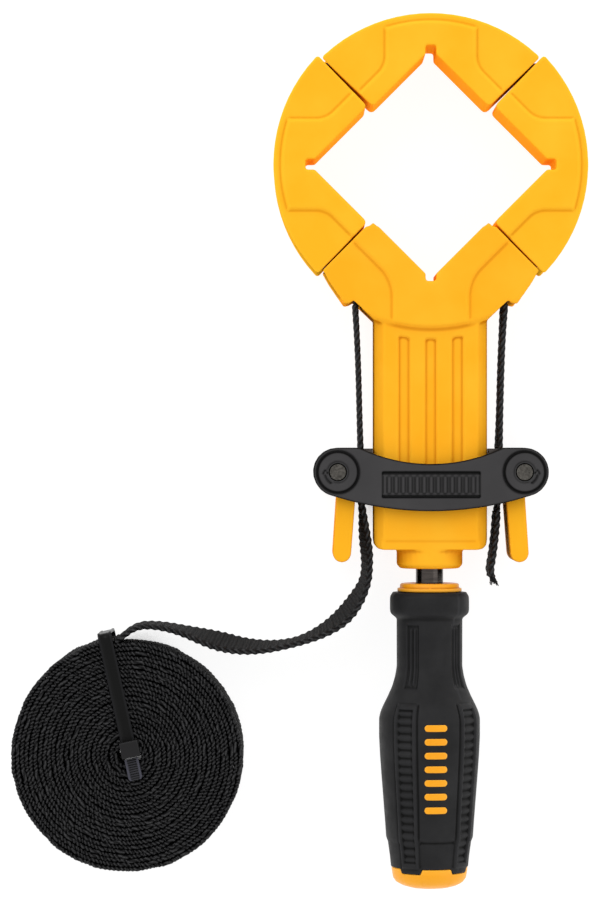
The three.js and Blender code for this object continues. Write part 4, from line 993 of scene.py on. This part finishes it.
# %% Crossbar
PLATE_UP, PLATE_SKIN, PLATE_FADE = 19.6, 1.2, 1
PIVOT_X, PIVOT_DEPTH = 37.3, 121.45
BOSS_RADIUS, BOSS_RISE = 8.0, 0.7
BADGE_DEPTH, BADGE_HALF_WIDTH, BADGE_HALF_HEIGHT, BADGE_SINK = 126.5, 19.5, 5.1, 0.6
RIB_STEP, RIB_HALF_WIDTH, RIB_HALF_HEIGHT, RIBS_EACH_SIDE = 2.8, 0.7, 3.5, 6
BOSS_GROOVE, BOSS_GROOVE_HALF, BOSS_GROOVE_SINK = BOSS_RADIUS + 0.35, 0.45, 0.55
PIN_GROOVE, PIN_GROOVE_HALF, PIN_GROOVE_SINK = 4.1, 0.35, 0.3
BADGE_LINE, BADGE_LINE_SINK, RIB_RISE = 0.9, 0.45, 0.5
ARROW_RADIUS, ARROW_HALF, ARROW_HEAD_HALF, ARROW_SINK = 5.0, 0.5, 1.35, 0.5
ARROW_TIP, ARROW_NECK, ARROW_END = 76, 98, 150


def plain_plate(right, down, up):
    """Levels the face, with its bosses and its badge."""
    return right, down, np.where(up > PLATE_UP - PLATE_SKIN, PLATE_UP, up)


def arrow(distance, clock):
    """1 on an arc from 98 to 150 degrees off the top and on its head, which narrows to a point at 76."""
    off = np.abs(distance - ARROW_RADIUS)
    shaft = ramp(clock, ARROW_NECK - 2, 6) * up_to(clock, ARROW_END, 8) * up_to(off, ARROW_HALF, 0.4)
    half = np.clip((clock - ARROW_TIP) / (ARROW_NECK - ARROW_TIP), 0, 1) * ARROW_HEAD_HALF
    head = up_to(off, half, 0.4) * (clock > ARROW_TIP) * up_to(clock, ARROW_NECK, 5)
    return np.maximum(shaft, head)


def plate_relief(right, down, up):
    """Bosses, their grooves and arrows, and the badge with its ribs."""
    x, y = np.abs(right) - PIVOT_X, down - PIVOT_DEPTH
    distance = np.hypot(x, y)
    clock = np.degrees(np.arctan2(np.abs(x), -y)) * (x > 0)
    lift = BOSS_RISE * up_to(distance, BOSS_RADIUS, 0.9) - ARROW_SINK * arrow(distance, clock)
    lift = lift - BOSS_GROOVE_SINK * bell(distance, BOSS_GROOVE, BOSS_GROOVE_HALF)
    lift = lift - PIN_GROOVE_SINK * bell(distance, PIN_GROOVE, PIN_GROOVE_HALF)
    high = np.abs(down - BADGE_DEPTH)
    badge = up_to(np.abs(right), BADGE_HALF_WIDTH, 0.6) * up_to(high, BADGE_HALF_HEIGHT, 0.6)
    line = badge * ramp(high, BADGE_HALF_HEIGHT - BADGE_LINE, 0.5)
    nearest = np.abs(right - RIB_STEP * np.clip(np.round(right / RIB_STEP), -RIBS_EACH_SIDE, RIBS_EACH_SIDE))
    rib = up_to(nearest, RIB_HALF_WIDTH, 0.6) * up_to(high, RIB_HALF_HEIGHT, 0.8)
    lift = lift - BADGE_SINK * badge - BADGE_LINE_SINK * line + RIB_RISE * rib
    return right, down, up + lift * ramp(up, PLATE_UP - PLATE_FADE, PLATE_SKIN)


moulded_copy("crossbar_front_plate", filled_nylon, 0.31, 46, plain_plate, plate_relief)
moulded_copy("crossbar_rear_plate", filled_nylon, 0.4, 8)
for node in ("lever_left", "lever_right"):
    moulded_copy(node, lever_abs, 0.36, 10)

# %% [markdown]
# ## The handle
# The grip is one skin whose radius is a function of two things: how far down the handle a point lies, and
# its angle round it. The function starts from the outline of the grip and adds each feature as a smooth
# step: two ribbed strips on either side of the front, two more behind, plain recesses with thin ribs in the
# neck, a line across the belly, and a lower edge that lets the tabs of the end cap through.

# %% The grip
GRIP_TOP, GRIP_LENGTH, GRIP_RADIUS = 170.1, 113.0, 20.4
GRIP_TURN = math.radians(9.5)
CORE_RADIUS = 9.3
outline_shares = [
    (0, 0.72), (0.01, 0.775), (0.022, 0.785), (0.066, 0.785), (0.078, 0.765), (0.086, 0.705), (0.09, 0.652),
    (0.265, 0.65), (0.3, 0.682), (0.335, 0.737), (0.371, 0.824), (0.406, 0.921), (0.428, 0.972), (0.45, 1),
    (0.515, 1), (0.587, 0.98), (0.658, 0.951), (0.748, 0.912), (0.819, 0.882), (0.863, 0.865), (0.88, 0.858),
    (0.886, 0.829), (0.945, 0.784), (1, 0.755),
]
OUTLINE_ROUND = 1.6
STRIP_ANGLE, STRIP_HALF = math.radians(41.6), math.radians(14)
STRIP_TOP, STRIP_FOOT, STRIP_BORDER = 214.6, 280.4, 2
STRIP_RISE, STRIP_GROOVE, FIELD_SINK, FIELD_RIB, FIELD_PITCH = 0.6, 0.45, 1.5, 0.8, 3.3
NECK_ANGLE, NECK_HALF = math.radians(43), math.radians(12)
NECK_TOP, NECK_FOOT, NECK_SINK, NECK_RIB = 183, 208.5, 0.7, 0.6
END_SLOPE, FIELD_SLOPE, SIDE_SLOPE = 1.2, 0.8, 0.05
GROOVE_OFF, GROOVE_HALF_TURN, FIELD_OFF, FIELD_SIDE_SLOPE = 0.03, 0.025, 0.075, 0.035
THIN_OFF, THIN_HALF, THIN_END, NECK_FOOT_SLOPE = 0.07, 0.03, 1.5, 1.4
LINE_DEPTH, LINE_HALF, LINE_BELOW, LINE_SINK, BELLY_SINK = 269.8, 0.75, 0.2, 0.8, 0.45
LOBE_SHARE, LOBE_SLOPE, BELLY_SHARE, BELLY_SLOPE = 1.25, 0.07, 1.2, 0.04
TAB_DEPTH, LOBE_DEPTH = 280.7, 282.6
GRIP_COLUMNS, GRIP_ROWS = 330, 262


def grip_outline(depth):
    """The grip's radius at a depth: the outline between its points, averaged to round its corners."""
    along, out = np.array(outline_shares).T * [[GRIP_LENGTH], [GRIP_RADIUS]] + [[GRIP_TOP], [0]]
    nearby = np.linspace(-OUTLINE_ROUND / 2, OUTLINE_ROUND / 2, 9)
    return np.mean([np.interp(depth + offset, along, out) for offset in nearby], axis=0)


def around(angle, middle):
    """The turn from the middle angle, either way, between 0 and pi."""
    return np.abs((angle - middle + math.pi) % (2 * math.pi) - math.pi)


def lower_edge(angle):
    """Where the rubber ends: lower under the strips, higher where a tab of the cap comes up between them."""
    tab = np.ones_like(angle)
    for middle in (STRIP_ANGLE, -STRIP_ANGLE, math.pi - STRIP_ANGLE, math.pi + STRIP_ANGLE):
        tab *= ramp(around(angle, middle), STRIP_HALF * LOBE_SHARE, LOBE_SLOPE)
    return LOBE_DEPTH + (TAB_DEPTH - LOBE_DEPTH) * tab


def grip_radius(angle, depth):
    """The outline, less each sunken field and more each rib, in mm."""
    radius = grip_outline(depth)
    strip_span = ramp(depth, STRIP_TOP, END_SLOPE) * up_to(depth, STRIP_FOOT, END_SLOPE)
    field_span = ramp(depth, STRIP_TOP + STRIP_BORDER, FIELD_SLOPE)
    field_span = field_span * up_to(depth, STRIP_FOOT - STRIP_BORDER, FIELD_SLOPE)
    ribs = 0.5 + 0.5 * np.cos(2 * math.pi * (depth - STRIP_TOP) / FIELD_PITCH)
    neck_span = ramp(depth, NECK_TOP, END_SLOPE) * up_to(depth, NECK_FOOT, NECK_FOOT_SLOPE)
    thin_span = ramp(depth, NECK_TOP + THIN_END, 1) * up_to(depth, NECK_FOOT - THIN_END, 1)
    for turn in (0, math.pi):
        for sign in (-1, 1):
            away = around(angle, turn + sign * STRIP_ANGLE)
            border = up_to(away, STRIP_HALF, SIDE_SLOPE) * strip_span
            groove = bell(away, STRIP_HALF + GROOVE_OFF, GROOVE_HALF_TURN) * strip_span
            field = up_to(away, STRIP_HALF - FIELD_OFF, FIELD_SIDE_SLOPE) * field_span
            radius = radius + STRIP_RISE * border - STRIP_GROOVE * groove
            radius = radius - field * (FIELD_SINK - FIELD_RIB * ribs ** 0.8)
            beside = around(angle, turn + sign * NECK_ANGLE)
            neck = up_to(beside, NECK_HALF, SIDE_SLOPE) * neck_span
            thin = bell(beside, THIN_OFF, THIN_HALF) * thin_span
            radius = radius - neck * (NECK_SINK - NECK_RIB * thin)
    nearest = np.minimum(around(angle, 0), around(angle, math.pi))
    between_strips = up_to(nearest, STRIP_ANGLE - STRIP_HALF * BELLY_SHARE, BELLY_SLOPE)
    belly = LINE_SINK * bell(depth, LINE_DEPTH, LINE_HALF)
    belly = belly + BELLY_SINK * ramp(depth, LINE_DEPTH + LINE_BELOW, END_SLOPE)
    return radius - belly * between_strips


grip_angles = once_round(GRIP_COLUMNS)[None, :]
grip_share = np.linspace(0, 1, GRIP_ROWS)[:, None]
grip_depth = GRIP_TOP + grip_share * (lower_edge(grip_angles) - GRIP_TOP)
grip_skin = about_screw(grip_radius(grip_angles, grip_depth), grip_depth, grip_angles + GRIP_TURN)
grip_bore = about_screw(CORE_RADIUS, grip_depth[[-1, 0]], grip_angles + GRIP_TURN)
grip_mesh = ring_mesh("rubber_grip", np.concatenate([grip_skin, grip_bore]))
add_piece(grip_mesh, grip_rubber, "spindle", ["handle_grip"])

# %% [markdown]
# A column of yellow bars is let into the front of the grip, where the photograph has lettering. It is a
# generic mark: seven plain bars with round ends. Each is a small pad laid on the grip's own radius function,
# proud by a third of a millimetre.

# %% Inlaid bars
BARS, BAR_PITCH, BAR_HALF_WIDTH, BAR_HALF_HEIGHT = 7, 5.5, 4.6, 1.35
BAR_MIDDLE_DEPTH, BAR_MIDDLE_X = 240.2, 1.9
BAR_RISE, BAR_ROOT = 0.3, 0.5
bar_ring_shares = [0.12, 0.35, 0.6, 0.8, 0.92, 0.98, 1, 1]
bar_rise_shares = [1, 1, 1, 1, 0.95, 0.7, 0, -1]


def inlaid_bars():
    """Pads of rings on a rounded oblong, bent round the grip, with their rim let in."""
    share = np.array(bar_ring_shares)[:, None]
    rise = np.array(bar_rise_shares)[:, None]
    angle = once_round(48)[None, :]
    straight = BAR_HALF_WIDTH - BAR_HALF_HEIGHT
    x = (np.cos(angle) * BAR_HALF_HEIGHT + np.clip(np.cos(angle) * 6, -1, 1) * straight) * share
    y = np.sin(angle) * BAR_HALF_HEIGHT * share
    grids = []
    for i in range(BARS):
        depth = BAR_MIDDLE_DEPTH + (i - (BARS - 1) / 2) * BAR_PITCH + y
        base = grip_outline(depth)
        radius = base + rise * np.where(rise > 0, BAR_RISE, BAR_ROOT)
        grids.append(about_screw(radius, depth, (BAR_MIDDLE_X + x) / base))
    return tube_mesh("inlaid_bars", *grids)


add_piece(inlaid_bars(), handle_abs, "spindle")
print("inlay:", BARS, "bars")

# %% [markdown]
# The end cap is moulded with the core. Its rim is castellated: tabs come up between the lobes of the
# rubber. So its upper edge follows the same function as the rubber's lower edge, a fifth of a millimetre
# below it, and its dome closes in a pole.

# %% End cap and ferrule
CAP_END, CAP_GAP = 289.9, 0.2
dome_shares = [(0, 1), (0.3, 0.975), (0.55, 0.9), (0.75, 0.74), (0.88, 0.55), (0.96, 0.32), (0.99, 0.15)]
CAP_COLUMNS, CAP_SHOULDER, CAP_BELLY = 240, 283.4, 283.0
CAP_INSET, BELLY_INSET = 0.25, 0.3
cap_rim = [(0.5, 0), (0.12, 0.1), (0, 0.45)]


def end_cap():
    """The rubber's edge carried on down, then a dome; the rim turns in towards the core."""
    angle = once_round(CAP_COLUMNS)
    edge = lower_edge(angle) + CAP_GAP
    rim = grip_outline(edge) - CAP_INSET
    belly = grip_outline(CAP_BELLY) - BELLY_INSET
    shoulder = np.maximum(edge + 1, CAP_SHOULDER)
    rows = [(CORE_RADIUS, edge), *((rim - inward, edge + lower) for inward, lower in cap_rim)]
    for along, out in dome_shares:
        rows.append((np.minimum(out * belly, rim), shoulder + along * (CAP_END - shoulder)))
    return tube_mesh("end_cap", np.stack([about_screw(*row, angle + GRIP_TURN) for row in rows]))


add_piece(end_cap(), handle_abs, "spindle", ["handle_end_cap"])
ferrule_profile = [(5.9, 166.5), (11.0, 166.45), (11.6, 166.6), (11.9, 167.0), (12.0, 168.1), (12.25, 168.35),
                   (12.8, 168.4), (13.0, 168.6), (13.0, 169.5), (12.8, 169.75), (5.9, 169.8)]
ferrule = ring_mesh("ferrule", turned(ferrule_profile))
add_piece(ferrule, handle_abs, "spindle", ["handle_ferrule"])

# %% [markdown]
# The spindle is ground smooth where it shows between the body and the handle. Inside the body it carries the
# screw thread that draws the crossbar: the radius falls and rises with the distance along the spindle plus
# the turn round it, which is a helix.

# %% Spindle, collar and bearings
SPINDLE_RADIUS, THREAD_LEAD, THREAD_DEPTH = 5.55, 5.0, 0.7
THREAD_STARTS, THREAD_FLAT = 2, 1.1
THREAD_TOP, THREAD_END = 73, 135
CHAMFER, CHAMFER_TOP, CHAMFER_FOOT, CHAMFER_RUN = 1.1, 60.9, 231.6, 1.4
spindle_stretches = [(60.6, 61.6, 5), (61.7, 138, 380), (139, 231, 24), (231.2, 232, 4)]
BORE_RADIUS = 5.85
bearings = (
    ("upper_bush", sintered_bronze, "bronze", 8, 61.6, 10, 0.4),
    ("lower_bush", sintered_bronze, "bronze", 9, 139, 10, 0.4),
    ("thrust_washer", zinc_plate, "plated_steel", 9.2, 149.3, 1.5, 0.2),
    ("thrust_collar", ground_steel, "polished_steel", 9.2, 151.1, 5.6, 0.4),
)


def threaded_spindle():
    """The radius less a flattened wave of (2 pi down / lead + turn) x starts between the thread's ends."""
    depth = np.concatenate([np.linspace(*stretch) for stretch in spindle_stretches])[:, None]
    angle = once_round(64)[None, :]
    wave = np.cos(THREAD_STARTS * (2 * math.pi * depth / THREAD_LEAD + angle))
    cut = np.clip(0.5 - THREAD_FLAT * wave, 0, 1) * ramp(depth, THREAD_TOP, 1) * up_to(depth, THREAD_END, 1)
    chamfer = CHAMFER * (up_to(depth, CHAMFER_TOP, CHAMFER_RUN) + ramp(depth, CHAMFER_FOOT, CHAMFER_RUN))
    radius = SPINDLE_RADIUS - THREAD_DEPTH * cut - chamfer
    return tube_mesh("threaded_spindle", about_screw(radius, depth, angle))


add_piece(threaded_spindle(), ground_steel, "spindle", ["spindle"])
for node, material, slot, outer, top, length, edge in bearings:
    inner, end = BORE_RADIUS, top + length
    profile = [(inner, top + edge), (inner + edge, top), (outer - edge, top), (outer, top + edge),
               (outer, end - edge), (outer - edge, end), (inner + edge, end), (inner, end - edge)]
    mesh = ring_mesh("turned_" + node, turned(profile))
    add_piece(mesh, material, frame["nodes"][node]["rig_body"], [node])
print("spindle with a", THREAD_LEAD, "mm lead")

# %% [markdown]
# The cable tie is a strap of nylon with one locking head. It runs over the loops, over their rim, back under
# the coil and up through its middle. The strap has a thin raised border on each side, and past the head its
# free end shows the saw teeth.

# %% Cable tie
SOLID_TIE_ANGLE = math.radians(99.4)
TIE_ANGLE = math.radians(102.4)
TIE_SHIFT, HEAD_SHIFT, HEAD_RISE = 1.3, 0.5, 1.1
TIE_REACH, TIE_WIDTH, TIE_THICKNESS = 50.8, 5.6, 1.1
TIE_OUT = np.array([math.cos(TIE_ANGLE), -math.sin(TIE_ANGLE)])
TIE_SIDE = np.array([math.sin(TIE_ANGLE), math.cos(TIE_ANGLE)])
COIL_TOP = COIL_BOTTOM + BAND_WIDTH
STRAP_GAP, STRAP_ROUND, STRAP_BORDER, STRAP_EDGE = 0.3, 2.4, 0.8, 0.18
TAIL_OUT, TAIL_IN, TOOTH_PITCH, TOOTH_DEPTH = -9.8, -1.0, 0.95, 0.5
TIP_SHARE, TIP_LENGTH, TOOTHED = 0.8, 4, 0.6
TAIL_BOTTOM = COIL_TOP + 2 * STRAP_GAP + TIE_THICKNESS + STRAP_GAP


def in_tie_plane(out, side, height):
    """Millimetres out from the coil's middle, to the side, and above the bench, as clamp millimetres."""
    out, side, height = np.broadcast_arrays(out, side + TIE_SHIFT, height)
    right = COIL_X + out * TIE_OUT[0] + side * TIE_SIDE[0]
    down = COIL_DEPTH + out * TIE_OUT[1] + side * TIE_SIDE[1]
    return np.stack([right, down, height - AXIS_Z], -1)


def tie_strap():
    """A flat section with a raised border, carried round a loop with a round corner at each end."""
    low, high = TIE_THICKNESS / 2, COIL_TOP + STRAP_GAP + TIE_THICKNESS / 2
    near, far = 0, TIE_REACH - TIE_THICKNESS / 2
    corners = np.array([(near, low), (far, low), (far, high), (near, high)])
    bend, straight = np.linspace(0, 1, 9)[:, None], np.linspace(0, 1, 22)[1:-1, None]
    loop = []
    for before, corner, after in zip(np.roll(corners, 1, 0), corners, np.roll(corners, -1, 0)):
        into = (before - corner) / np.linalg.norm(before - corner) * STRAP_ROUND
        out = (after - corner) / np.linalg.norm(after - corner) * STRAP_ROUND
        loop.append(corner + (1 - bend) ** 2 * into + bend ** 2 * out)
        loop.append((corner + out) * (1 - straight) + straight * (after - out))
    loop = np.concatenate(loop)
    tangent = np.roll(loop, -1, 0) - np.roll(loop, 1, 0)
    tangent /= np.linalg.norm(tangent, axis=1)[:, None]
    normal = np.stack([-tangent[:, 1], tangent[:, 0]], -1)
    half = TIE_WIDTH / 2
    flank, border = half - STRAP_EDGE, half - STRAP_BORDER
    right_half = [(flank, -0.5), (half, -0.3), (half, 0.4), (flank, 0.5), (border, 0.5), (border - 0.2, 0.25)]
    section = np.array([(-flank, -0.5), *right_half, *((-x, y) for x, y in right_half[:0:-1])])
    points = loop[:, None] - normal[:, None] * (section[:, 1] * TIE_THICKNESS)[None, :, None]
    return ring_mesh("cable_tie_strap", in_tie_plane(points[..., 0], section[None, :, 0], points[..., 1]))


def tie_tail():
    """The free end: saw teeth about 1 mm apart on its upper face, and a tip that narrows."""
    out = np.linspace(TAIL_OUT, TAIL_IN, 96)[:, None]
    half = TIE_WIDTH / 2 * np.clip(TIP_SHARE + (out - TAIL_OUT) / TIP_LENGTH, 0, 1)
    section = np.array([(-1, -0.5), (1, -0.5), (1, 0.35), (0.72, 0.5), (TOOTHED, 0.5), (-TOOTHED, 0.5),
                        (-0.72, 0.5), (-1, 0.35)])
    toothed = np.abs(section[:, 0]) == TOOTHED
    teeth = TOOTH_DEPTH * ((-out / TOOTH_PITCH) % 1) * toothed
    height = TAIL_BOTTOM + TIE_THICKNESS / 2 + section[None, :, 1] * TIE_THICKNESS - teeth
    return tube_mesh("cable_tie_tail", in_tie_plane(out, half * section[None, :, 0], height))


def turn_head(right, down, up):
    """Turns the head's solid from the solid tie's plane into this one, and shifts it with the strap."""
    turn = TIE_ANGLE - SOLID_TIE_ANGLE
    x, y = right - COIL_X, down - COIL_DEPTH
    x, y = x * math.cos(turn) + y * math.sin(turn), y * math.cos(turn) - x * math.sin(turn)
    return (COIL_X + x + TIE_SHIFT * TIE_SIDE[0] + HEAD_SHIFT,
            COIL_DEPTH + y + TIE_SHIFT * TIE_SIDE[1] - HEAD_RISE, up)


add_piece(tie_strap(), painted_dark_strap_nylon, "crossbar", ["tie_strap"])
moulded_copy("tie_head", head_nylon, 0.25, 5, relief=turn_head)
add_piece(tie_tail(), painted_light_tail_nylon, "crossbar", ["tie_tail"])

# %% [markdown]
# ## What is left
# Pieces that hardly show keep their solid, with the finish of the real piece: the nut block, the anvils, the
# drive nut, the cross pin, the lever pins, the screws and the core of the handle.

# %% Finishes on the solids that stay
solid_finish = {
    "nut_block": cast_steel, "anvil_left": ground_steel, "anvil_right": ground_steel,
    "pivot_pin_left": cast_steel, "pivot_pin_right": cast_steel, "drive_nut": sintered_bronze,
    "spindle_pin": zinc_plate, "handle_core": handle_abs,
    **{f"frame_screw_{i}": zinc_plate for i in range(1, 7)},
}
for node, material in solid_finish.items():
    slots = frame["nodes"][node].data.materials
    for i in range(len(slots)):
        slots[i] = material
    print(node, "->", material.name)
